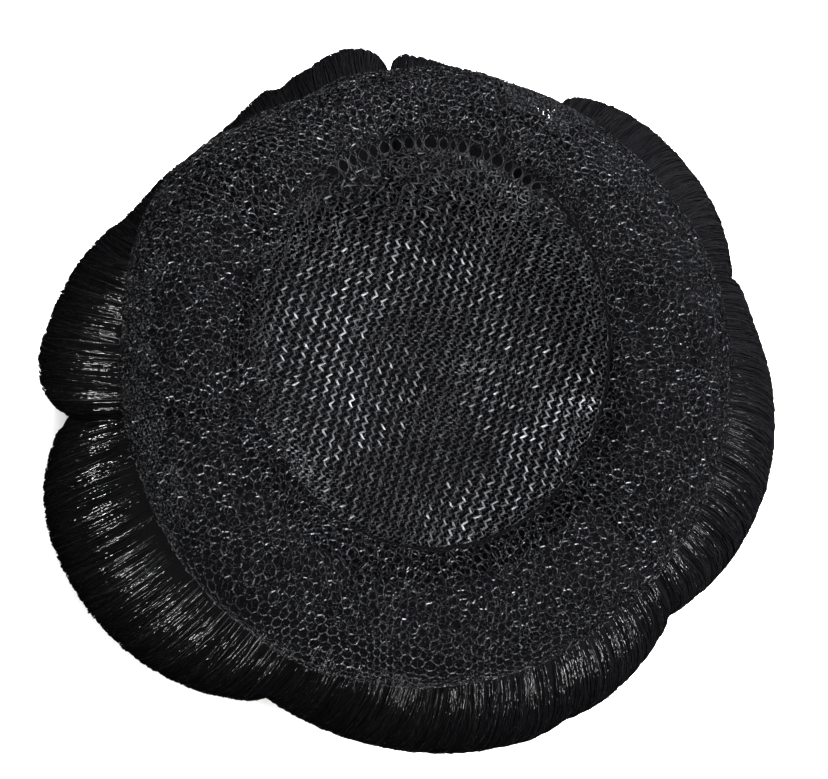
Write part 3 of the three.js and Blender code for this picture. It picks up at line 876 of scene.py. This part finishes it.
PANEL_RISE = 0.3           # the panel's net lies this far above the seam
HOLE_WIDTH = 2.6           # along the top of the seam the panel's edge is pulled into a row of holes
HOLE_DEPTH = 2.2
HOLES_DEG = (46.0, 130.0)  # from and to, on the seam
HOLES_FADE_DEG = 9.0
TIE_THREADS = 3            # threads drawn together between two holes
TIE_PLACES = 7
TIE_SIDES = 5
TIE_SHIFT = 0.2            # share of a hole's width by which they lie off their even place
TIE_RUN = (-0.15, 1.15)    # they start outside the seam and end in the meshes, in shares of the way
TIE_OVERLAP = 0.3          # how much longer that way is than a hole is deep
TIE_WAIST = 0.3            # their width over all in the middle
TIE_FOOT = 1.5             # and at the seam and the meshes
TIE_SPREAD = 0.12          # share of that width by which one of them goes astray
TIE_RISE = 0.15            # and how far it goes up or down
TIE_RADIUS_SHARE = 0.35    # of the diameter of the panel's thread
TIE_SHADES = (0.02, 0.09)  # shares of painted sheen: the darkest, and how much lighter the lightest is


def hole_depth(deg):
    """Depth of the row of holes inside the seam in each direction."""
    first, last = HOLES_DEG
    return HOLE_DEPTH * smooth_step(0, HOLES_FADE_DEG, np.minimum(deg - first, last - deg))


def panel_half(flat):
    """Half diameters of the oval in which the panel's meshes lie, towards each flat place (n, 2)."""
    deg = np.degrees(np.arctan2(flat[:, 1] / SEAM_HALF[1], flat[:, 0] / SEAM_HALF[0]))
    return SEAM_HALF - NET_LIP - hole_depth(deg)[:, None]


def add_hole_ties(shape, settings, rng):
    """The threads between the holes, from the seam to the panel's meshes."""
    first, last = HOLES_DEG
    count = round(math.radians(last - first) * SEAM_HALF.mean() / HOLE_WIDTH)
    shift = rng.uniform(-TIE_SHIFT, TIE_SHIFT, count - 1)
    deg = first + (last - first) * (np.arange(1, count) + shift) / count
    ray = rays(np.radians(deg))
    run = np.linspace(*TIE_RUN, TIE_PLACES)[:, None]
    inset = run * (hole_depth(deg) + TIE_OVERLAP)[:, None, None]
    middle = SEAM_CENTRE + (SEAM_HALF - NET_LIP - inset) * ray[:, None]
    spread = TIE_WAIST + (TIE_FOOT - TIE_WAIST) * (2 * run - 1) ** 2
    along_seam = np.stack([-ray[:, 1], ray[:, 0]], axis=-1)[:, None]
    threads = []
    for thread in np.linspace(-0.5, 0.5, TIE_THREADS):
        offset = thread + rng.uniform(-TIE_SPREAD, TIE_SPREAD, (count - 1, 1, 1))
        threads.append(middle + offset * spread * along_seam)
    flat = np.concatenate(threads)
    height = SEAM_HEIGHT + PANEL_RISE + rng.uniform(-TIE_RISE, TIE_RISE, (len(flat), TIE_PLACES, 1))
    lines = np.concatenate([flat, height], axis=-1)
    outward = np.broadcast_to((0.0, 0.0, 1.0), lines.shape)
    radius = np.full(lines.shape[:2], TIE_RADIUS_SHARE * settings.thread_diameter / MM)
    darkest, lighter = TIE_SHADES
    shades = darkest + lighter * rng.random(len(lines)) ** 2
    points, parts = tubes(lines, outward, radius, shades, TIE_SIDES, False, (0.5, 0), (1, 0.5))
    shape.add(points, *parts)


PanelLayer = namedtuple(
    "PanelLayer", "turn scale thread_share depth roll shade upper_shade patches in_step map_low")
PANEL_LAYERS = (
    PanelLayer(0.0, 1.0, 1.0, 0.0, 0.05, 1.0, 0.4, (-0.4, 0.9), True, (0, 0)),
    PanelLayer(38.0, 0.52, 0.5, 0.9, 0.0, 0.5, 0.6, (-0.2, 1.3), False, (0, 0.5)),
)
UPPER_FROM = (19.0, 27.0)  # distances above the panel's middle between which the zigzags slacken
PANEL_SHEET = 48.0         # half width of the flat sheet that is laid in the seam
PANEL_PULL = 0.45          # meshes are pulled out of line by about this much
PANEL_PULL_WAVE = 34.0
PANEL_CROOKED = 0.05       # knots are out of place by about this much
PANEL_SLACK = 0.3          # and by this much more where the zigzags slacken
PANEL_MARGIN = 0.2         # share of the pitch by which the meshes stay inside the seam
PANEL_FREE = 0.25          # share of the way in from the seam at which the net is free of it
PANEL_LIFT = 0.5           # there it rises and falls by about this much
PANEL_LIFT_WAVE = 24.0
PANEL_KNOTS = 0.06
ROLL_PATCH = 32.0          # distance over which the zigzags' thread rolls to the other side and back
PANEL_CORNER_ROLL = 0.02
CELL_SIDES = np.array((1, -1, -1, -1, 1, 1))  # corners of a cell beside its left and its right zigzag
# Shares of painted glint in the thread's colour: bars get almost none, zigs and zags more, and another amount
# where they slacken
BAR_SHADE = 0.02
ZIGZAG_SHADES = (0.07, 0.78)  # the darkest, and how much lighter the lightest is
ZIGZAG_RARITY = 3          # from 1, many half-bright threads, to 6, a few bright ones
LEAST_PAINTED_GLINT = 0.1          # share of the painted glint that is left outside a zig's or zag's glint patches


def add_panel_layer(shape, settings, rng, layer):
    """One layer of the panel's net, stretched flat inside the seam."""
    sizes = (settings.zigzag_period, settings.zigzag_swing, settings.zigzag_pitch)
    period, swing, pitch = (layer.scale * size / MM for size in sizes)
    lean = settings.lean + math.radians(layer.turn)
    flat, cells = flat_net(period, swing, pitch, PANEL_SHEET, -lean, layer.in_step)
    pulled = np.stack([ripple(rng, flat, PANEL_PULL_WAVE) for _ in range(2)], axis=-1)
    slack = smooth_step(*UPPER_FROM, flat[:, 1:])
    crooked = PANEL_CROOKED + PANEL_SLACK * layer.scale * slack
    flat = flat + PANEL_PULL * pulled + crooked * rng.normal(0, 1, flat.shape)
    reach = np.linalg.norm(flat / panel_half(flat), axis=1)
    middle = middle_of(flat, cells)
    margin = PANEL_MARGIN * pitch / SEAM_HALF[0]
    kept = cells[np.linalg.norm(middle / panel_half(middle), axis=1) < 1 - margin]
    inside = flat / np.maximum(reach, 1)[:, None]
    free = smooth_step(0, PANEL_FREE, 1 - np.minimum(reach, 1))
    lift = PANEL_LIFT * ripple(rng, flat, PANEL_LIFT_WAVE) + PANEL_KNOTS * rng.normal(0, 1, len(flat))
    height = SEAM_HEIGHT + PANEL_RISE + (lift - layer.depth) * free
    nodes = np.concatenate([inside + SEAM_CENTRE, height[:, None]], axis=1)
    out = np.tile((0.0, 0.0, 1.0), (len(nodes), 1))
    zigzag, bar = settings.thread_diameter / MM / 2, settings.bar_diameter / MM / 2
    radii = layer.thread_share * np.array((bar, zigzag, zigzag, bar, zigzag, zigzag))
    roll = layer.roll * ripple(rng, flat, ROLL_PATCH)
    tips = roll[kept] * CELL_SIDES + rng.normal(0, PANEL_CORNER_ROLL, kept.shape)

    # Shades of the threads, painted into their colour as glints: zigs and zags get painted glints in patches
    # of their own
    drawn = [smooth_step(*layer.patches, ripple(rng, flat, ROLL_PATCH)) for _ in range(2)]
    darkest, lighter = ZIGZAG_SHADES
    shine = darkest + lighter * side_chances(rng, kept) ** ZIGZAG_RARITY
    most = layer.shade + (layer.upper_shade - layer.shade) * middle_of(slack, kept)
    way = flat[np.roll(kept, -1, axis=1)] - flat[kept]
    across = way @ np.array((math.cos(lean), -math.sin(lean)))
    rise = way @ np.array((math.sin(lean), math.cos(lean)))
    steep = period * swing / 4
    zigs, zags = across * rise > steep, across * rise < -steep
    painted_glint = zigs * (LEAST_PAINTED_GLINT + drawn[0][kept]) + zags * (LEAST_PAINTED_GLINT + drawn[1][kept])
    shades = BAR_SHADE + most * shine * painted_glint
    add_threads(shape, nodes, out, flat, kept, radii, tips, shades, np.array(layer.map_low), 0.5)


# Materials


def add_node(tree, kind, inputs=None, links=None, **settings):
    """Adds one node with its settings, the values of its inputs and what is linked to them."""
    node = tree.nodes.new(kind)
    for name, value in settings.items():
        setattr(node, name, value)
    for name, value in (inputs or {}).items():
        node.inputs[name].default_value = value
    for name, source in (links or {}).items():
        tree.links.new(source, node.inputs[name])
    return node


def new_material(name):
    material = bpy.data.materials.new(name)
    material.use_nodes = True
    material.node_tree.nodes.clear()
    return material, material.node_tree


def per_metre(millimetres):
    """Scale of a pattern whose marks are that far apart, in coordinates that are in metres."""
    return 1 / (millimetres * MM)


def noise(tree, millimetres, detail, shift=None):
    """Cloudy unevenness with marks that far apart, in other places for each shift."""
    place = add_node(tree, "ShaderNodeTexCoord")
    dimensions, links = "3D", {"Vector": place.outputs["Object"]}
    if shift is not None:
        dimensions, links["W"] = "4D", shift
    clouds = add_node(
        tree, "ShaderNodeTexNoise", noise_dimensions=dimensions,
        inputs={"Scale": per_metre(millimetres), "Detail": detail}, links=links)
    return clouds.outputs["Fac"]


def blend(tree, dark, light, factor):
    """Colour between two colours."""
    mix = add_node(
        tree, "ShaderNodeMix", data_type="RGBA", inputs={6: (*dark, 1), 7: (*light, 1)},
        links={"Factor": factor})
    return mix.outputs[2]


def relief(tree, height, strength, millimetres):
    bump = add_node(
        tree, "ShaderNodeBump", inputs={"Strength": strength, "Distance": millimetres * MM},
        links={"Height": height})
    return bump.outputs["Normal"]


def ramp(tree, value, start, end, first, last):
    """Goes from the first value to the last one while the input goes from start to end."""
    mapped = add_node(
        tree, "ShaderNodeMapRange",
        inputs={"From Min": start, "From Max": end, "To Min": first, "To Max": last},
        links={"Value": value})
    return mapped.outputs["Result"]


def multiply(tree, value, factor):
    """Product of a value and a number or another value."""
    inputs, links = {}, {0: value}
    if isinstance(factor, float):
        inputs[1] = factor
    else:
        links[1] = factor
    product = add_node(tree, "ShaderNodeMath", operation="MULTIPLY", inputs=inputs, links=links)
    return product.outputs["Value"]


def face_shade(tree):
    """The shade that each face of a shape was given."""
    return add_node(tree, "ShaderNodeAttribute", attribute_name="shade").outputs["Fac"]


def cover_with(tree, inputs, links):
    """Ends a material in a surface with those constants and links."""
    shader = add_node(tree, "ShaderNodeBsdfPrincipled", inputs=inputs, links=links)
    add_node(tree, "ShaderNodeOutputMaterial", links={"Surface": shader.outputs["BSDF"]})


# Distances between the marks of the patterns, in millimetres
HAIR_KINKS = 1.8
PACKED_STRANDS = 0.6       # as coarse as they need to be to show
CORD_FIBRES = 0.4
FLOOR_CLOUDS = 120.0

KINKS_APART = 60.0         # strands of another shade have their kinks in other places
SHINING_FROM = (0.6, 0.75)  # shades between which strands go from dull to shining
PACKED_SHARE = 0.55        # share of the strands' colour that is left where strands shade each other


def scaled(colour, share):
    return [share * part for part in colour]


def hair_material(settings):
    """Synthetic hair fibre, drawn and set in loops: near black, each strand a little lighter or darker.

    Three strands in ten lie so that they shine. Their kinks break the shine into short dashes.
    """
    material, tree = new_material("Synthetic hair fibre, drawn")
    strand = face_shade(tree)
    kinks = noise(tree, HAIR_KINKS, 1.0, shift=multiply(tree, strand, KINKS_APART))
    cover_with(tree, {"IOR": 1.5}, {
        "Base Color": blend(tree, settings.dark_colour, settings.light_colour, strand),
        "Roughness": ramp(tree, strand, *SHINING_FROM, 0.5, 0.12),
        "Specular IOR Level": ramp(tree, strand, *SHINING_FROM, 0.01, 0.5),
        "Normal": relief(tree, kinks, 1.0, 0.55)})
    return material


def packed_hair_material(settings):
    """Synthetic hair, packed: strands under a loop's face, so dense that almost no light returns."""
    material, tree = new_material("Synthetic hair, packed")
    strands = noise(tree, PACKED_STRANDS, 3.0)
    dark, light = scaled(settings.dark_colour, PACKED_SHARE), scaled(settings.light_colour, PACKED_SHARE)
    cover_with(tree, {"IOR": 1.54, "Roughness": 0.8, "Specular IOR Level": 0.02}, {
        "Base Color": blend(tree, dark, light, strands),
        "Normal": relief(tree, strands, 0.6, 0.3)})
    return material


def net_material(name, settings, fleck, fleck_from, least):
    """Nylon hair net, knotted from black thread: dark lines, with glints painted into its colour by each
    face's shade.

    A higher shade paints the thread lighter, as a painted glint, and also makes it shinier. The painted sheen
    is uneven, in flecks of a size in mm, and falls to a least share between them.
    """
    material, tree = new_material(name)
    uneven = ramp(tree, noise(tree, fleck, 1.0), fleck_from, 0.6, least, 1.0)
    sheen = multiply(tree, face_shade(tree), uneven)
    cover_with(tree, {"IOR": 1.53}, {
        "Base Color": blend(tree, settings.colour, settings.painted_glint_colour, sheen),
        "Roughness": ramp(tree, sheen, 0.0, 1.0, 0.2, 0.15),
        "Specular IOR Level": ramp(tree, sheen, 0.0, 1.0, 0.1, 0.6)})
    return material


def cord_material(settings):
    """Polyester cord, twisted from matt yarn: a dull dark line with soft flecks of fibre."""
    material, tree = new_material("Polyester cord, twisted")
    fibres = noise(tree, CORD_FIBRES, 3.0)
    cover_with(tree, {"Roughness": 0.8, "Specular IOR Level": 0.08}, {
        "Base Color": blend(tree, scaled(settings.colour, 0.5), settings.colour, fibres),
        "Normal": relief(tree, fibres, 0.5, 0.1)})
    return material


def floor_material(settings):
    """Paper backdrop, matt: an even white with the faintest cloudiness."""
    material, tree = new_material("Paper backdrop, matt")
    clouds = noise(tree, FLOOR_CLOUDS, 2.0)
    cover_with(tree, {"Roughness": 0.9, "Specular IOR Level": 0.1}, {
        "Base Color": blend(tree, scaled(settings.floor_colour, 0.97), settings.floor_colour, clouds)})
    return material


# Operators


FLOOR_RADIUS = 6.0
FLOOR_SIDES = 96
CAMERA_AIM_HEIGHT = 50.0   # height of the point of the net that the camera is set by
AIM_PIXEL = (430.0, 377.0)  # where that point shows in the image, from its upper left corner
LIGHT_AIM = Vector((0, 0, 0.05))

StudioLight = namedtuple("StudioLight", "name power azimuth elevation distance size hidden_from")

# Directions in degrees, distances and sizes in metres. Strips give only shine, broad lights none.
STUDIO_LIGHTS = (
    StudioLight("Key strip", "key_power", 191, 27, 0.8, (0.6, 0.06), "visible_diffuse"),
    StudioLight("Low strip", "low_power", 304, 24, 0.8, (0.8, 0.06), "visible_diffuse"),
    StudioLight("Left glint strip", "glint_power", 184, 71, 1.2, (0.5, 0.05), "visible_diffuse"),
    StudioLight("Right glint strip", "glint_power", 331, 59, 1.2, (0.5, 0.05), "visible_diffuse"),
    StudioLight("Haze", "haze_power", 32, 30, 1.5, (3.2, 1.4), "visible_glossy"),
    StudioLight("Overhead wash", "wash_power", 60, 84, 2.6, (3.0, 3.0), "visible_glossy"),
)


class HAIRBUN_OT_stage(bpy.types.Operator):
    """Set up the camera at the photograph's angle, the pale floor and soft studio light"""

    bl_idname = "hair_bun.stage"
    bl_label = "Stage"

    def execute(self, context):
        settings = context.scene.hair_bun_stage
        self.place_camera(context, settings)
        self.lay_floor(context, settings)
        for row in STUDIO_LIGHTS:
            self.hang_light(context, settings, row)
        world = bpy.data.worlds.new("White studio")
        world.use_nodes = True
        world.node_tree.nodes["Background"].inputs["Color"].default_value = (1, 1, 1, 1)
        world.cycles_visibility.diffuse = False
        world.cycles_visibility.glossy = False
        context.scene.world = world
        context.scene.view_settings.view_transform = "Standard"
        return {"FINISHED"}

    def place_camera(self, context, settings):
        tilt, side = settings.camera_tilt, settings.camera_side
        back = Vector((
            math.sin(tilt) * math.cos(side), math.sin(tilt) * math.sin(side), math.cos(tilt)))
        up = Vector((0, 1, 0))
        up = (up - back * up.dot(back)).normalized()
        right = up.cross(back)
        per_pixel = settings.camera_distance / settings.focal_pixels
        aim = Vector((MIDDLE[0], MIDDLE[1], CAMERA_AIM_HEIGHT)) * MM
        eye = aim + back * settings.camera_distance
        eye -= right * (AIM_PIXEL[0] - IMAGE_WIDTH / 2) * per_pixel
        eye += up * (AIM_PIXEL[1] - IMAGE_HEIGHT / 2) * per_pixel
        camera = bpy.data.cameras.new("Camera")
        camera.sensor_fit = "HORIZONTAL"
        camera.sensor_width = SENSOR_WIDTH
        camera.lens = SENSOR_WIDTH * settings.focal_pixels / IMAGE_WIDTH
        holder = bpy.data.objects.new("Camera", camera)
        axes = Matrix((right, up, back)).transposed()
        holder.matrix_world = Matrix.Translation(eye) @ axes.to_4x4()
        context.scene.collection.objects.link(holder)
        context.scene.camera = holder

    def lay_floor(self, context, settings):
        turn = np.linspace(0, 2 * math.pi, FLOOR_SIDES, endpoint=False)
        rim = [(FLOOR_RADIUS * math.cos(t), FLOOR_RADIUS * math.sin(t), 0) for t in turn]
        mesh = bpy.data.meshes.new("Floor")
        mesh.from_pydata(rim, [], [range(FLOOR_SIDES)])
        mesh.materials.append(floor_material(settings))
        floor = bpy.data.objects.new("Floor", mesh)
        floor.visible_glossy = False
        context.scene.collection.objects.link(floor)

    def hang_light(self, context, settings, row):
        """Hangs a soft box in its direction from the bun, facing it."""
        light = bpy.data.lights.new(row.name, "AREA")
        light.shape = "RECTANGLE"
        light.size, light.size_y = row.size
        light.energy = getattr(settings, row.power)
        azimuth, elevation = math.radians(row.azimuth), math.radians(row.elevation)
        out = math.cos(elevation)
        back = Vector((out * math.cos(azimuth), out * math.sin(azimuth), math.sin(elevation)))
        holder = bpy.data.objects.new(row.name, light)
        holder.rotation_euler = back.to_track_quat("Z", "Y").to_euler()
        holder.location = back * row.distance + LIGHT_AIM
        setattr(holder, row.hidden_from, False)
        context.scene.collection.objects.link(holder)


class HAIRBUN_OT_petals(bpy.types.Operator):
    """Lay the strands of the seven hair loops over their packed hair"""

    bl_idname = "hair_bun.petals"
    bl_label = "Hair loops"

    def execute(self, context):
        settings = context.scene.hair_bun_hair
        drawn, packed = hair_material(settings), packed_hair_material(settings)
        for seed, (loop, end) in enumerate(zip(LOOPS, LOOP_ENDS), HAIR_SEED):
            shape = Shape()
            add_strands(shape, loop, end, settings, np.random.default_rng(seed))
            add_packed_hair(shape, loop, end)
            shape.make(f"hair_{loop.name}", f"petal_{loop.name}", "hair", drawn, packed)
        return {"FINISHED"}


CoverLayer = namedtuple(
    "CoverLayer",
    "turn mesh_share thread_share depth shade map_low map_size"
    " least bare_shade short start reach lap sector_at sector_half",
    defaults=(0.5, 0.01, 0.0, 0.0, 0.0, 1.0, 0.0, 0.0, 360.0))
INNER_REACH = 0.8          # share of the first layer's width that the inner ones have: they end at the edge
# least and bare_shade are shares of painted sheen in the thread's colour: folded layers are painted lighter
# throughout, the first layer where it lies bare
OUTER_LAYERS = (
    CoverLayer(12.0, 1.0, 1.0, 0.0, 1.0, (0, 0), bare_shade=0.22, lap=3.0),
    CoverLayer(
        27.0, 0.27, 1.0, -0.2, 0.15, (0.5, 0), 0.24,
        least=0.5, start=0.3, sector_at=67.0, sector_half=9.0),
    CoverLayer(
        58.0, 0.45, 0.9, 0.1, 0.12, (0.75, 0), 0.24,
        least=0.5, start=0.6, sector_at=137.0, sector_half=10.0),
    CoverLayer(
        85.0, 0.43, 0.9, 0.6, 0.25, (0.5, 0.25), 0.24,
        least=0.8, start=0.5, sector_at=188.0, sector_half=25.0),
)
INNER_LAYERS = (
    CoverLayer(43.0, 0.88, 0.85, 1.0, 0.85, (0, 0), short=0.32, reach=INNER_REACH),
    CoverLayer(-11.0, 0.92, 0.85, 2.0, 0.6, (0.5, 0.5), short=0.27, reach=INNER_REACH),
)
COVER_PIECES = {"net_cover_threads": OUTER_LAYERS, "net_cover_inner_threads": INNER_LAYERS}


class HAIRBUN_OT_net_cover(bpy.types.Operator):
    """Stretch the layers of hair net over the back of the bun, from the seam to the hem"""

    bl_idname = "hair_bun.net_cover"
    bl_label = "Net cover"

    def execute(self, context):
        settings = context.scene.hair_bun_net
        gap = settings.layer_gap / MM
        rng = np.random.default_rng(COVER_SEED)
        net = net_material("Nylon hair net, knotted", settings, fleck=0.5, fleck_from=0.48, least=0.02)
        for name, layers in COVER_PIECES.items():
            shape = Shape()
            for layer in layers:
                add_cover_layer(shape, settings, rng, layer, gap * layer.depth)
            shape.make(name, "net_cover", "net", net, smooth=False)
        return {"FINISHED"}


class HAIRBUN_OT_net_panel(bpy.types.Operator):
    """Stretch the two layers of the flat panel inside the seam"""

    bl_idname = "hair_bun.net_panel"
    bl_label = "Net panel"

    def execute(self, context):
        settings = context.scene.hair_bun_panel
        shape = Shape()
        rng = np.random.default_rng(PANEL_SEED)
        for layer in PANEL_LAYERS:
            add_panel_layer(shape, settings, rng, layer)
        add_hole_ties(shape, settings, rng)
        net = net_material("Nylon hair net, stretched", settings, fleck=2.2, fleck_from=0.42, least=0.35)
        shape.make("net_panel_threads", "net_panel", "panel_net", net, smooth=False)
        return {"FINISHED"}


CORD_TURN_PLACES = 12      # points on each turn of the cord's plies
CORD_SIDES = 6
CORD_PLIES = 2
CORD_SUNK = 0.6            # the nets are drawn over the cord, which lies this far below their edges
PLY_PRESS = 1.1            # plies press into each other: a ply's radius in shares of its way to the middle


class HAIRBUN_OT_seam_cord(bpy.types.Operator):
    """Lay the twisted cord in the oval seam"""

    bl_idname = "hair_bun.seam_cord"
    bl_label = "Seam cord"

    def execute(self, context):
        settings = context.scene.hair_bun_cord
        ply = settings.diameter / MM / 4
        wide, high = SEAM_HALF
        oval = math.pi * (3 * (wide + high) - math.sqrt((3 * wide + high) * (wide + 3 * high)))
        turns = round(oval / (settings.twist / MM))
        angle = np.linspace(0, 2 * math.pi, turns * CORD_TURN_PLACES, endpoint=False)
        ray = rays(angle)
        level = np.full((len(ray), 1), SEAM_HEIGHT - CORD_SUNK)
        middle = np.concatenate([SEAM_CENTRE + SEAM_HALF * ray, level], axis=1)
        out = np.concatenate([unit(ray / SEAM_HALF), np.zeros((len(ray), 1))], axis=1)
        up = np.tile((0.0, 0.0, 1.0), (len(ray), 1))
        lines, faces_out = [], []
        for number in range(CORD_PLIES):
            twist = turns * angle + 2 * math.pi * number / CORD_PLIES
            swing = np.cos(twist)[:, None] * out + np.sin(twist)[:, None] * up
            lines.append(middle + ply * swing)
            faces_out.append(swing)
        lines, faces_out = np.array(lines), np.array(faces_out)
        radius = np.full(lines.shape[:2], ply * PLY_PRESS)
        points, parts = tubes(
            lines, faces_out, radius, np.ones(CORD_PLIES), CORD_SIDES, True, (0, 0), (1, 1))
        shape = Shape()
        shape.add(points, *parts)
        shape.make("seam_cord_plies", "seam_cord", "cord", cord_material(settings))
        return {"FINISHED"}


class HAIRBUN_PT_pieces(bpy.types.Panel):
    """Pieces of the hair bun and the sizes and colours that they are built with"""

    bl_idname = "HAIRBUN_PT_pieces"
    bl_label = "Hair Bun"
    bl_space_type = "VIEW_3D"
    bl_region_type = "UI"
    bl_category = "Hair Bun"

    def draw(self, context):
        for operator, settings in STEPS:
            box = self.layout.box()
            box.operator(operator.bl_idname)
            group = getattr(context.scene, settings)
            for name in group.__annotations__:
                box.prop(group, name)


SETTINGS = {
    "hair_bun_stage": HairBunStageSettings,
    "hair_bun_hair": HairBunHairSettings,
    "hair_bun_net": HairBunNetSettings,
    "hair_bun_panel": HairBunPanelSettings,
    "hair_bun_cord": HairBunCordSettings,
}
STEPS = (
    (HAIRBUN_OT_stage, "hair_bun_stage"),
    (HAIRBUN_OT_petals, "hair_bun_hair"),
    (HAIRBUN_OT_net_cover, "hair_bun_net"),
    (HAIRBUN_OT_net_panel, "hair_bun_panel"),
    (HAIRBUN_OT_seam_cord, "hair_bun_cord"),
)
CLASSES = (*SETTINGS.values(), *(operator for operator, _ in STEPS), HAIRBUN_PT_pieces)


def register():
    for cls in CLASSES:
        bpy.utils.register_class(cls)
    for name, cls in SETTINGS.items():
        setattr(bpy.types.Scene, name, PointerProperty(type=cls))


def unregister():
    for name in SETTINGS:
        delattr(bpy.types.Scene, name)
    for cls in reversed(CLASSES):
        bpy.utils.unregister_class(cls)


def main():
    register()
    bpy.ops.hair_bun.stage()
    bpy.ops.hair_bun.petals()
    bpy.ops.hair_bun.net_cover()
    bpy.ops.hair_bun.net_panel()
    bpy.ops.hair_bun.seam_cord()


if __name__ == "__main__":
    main()
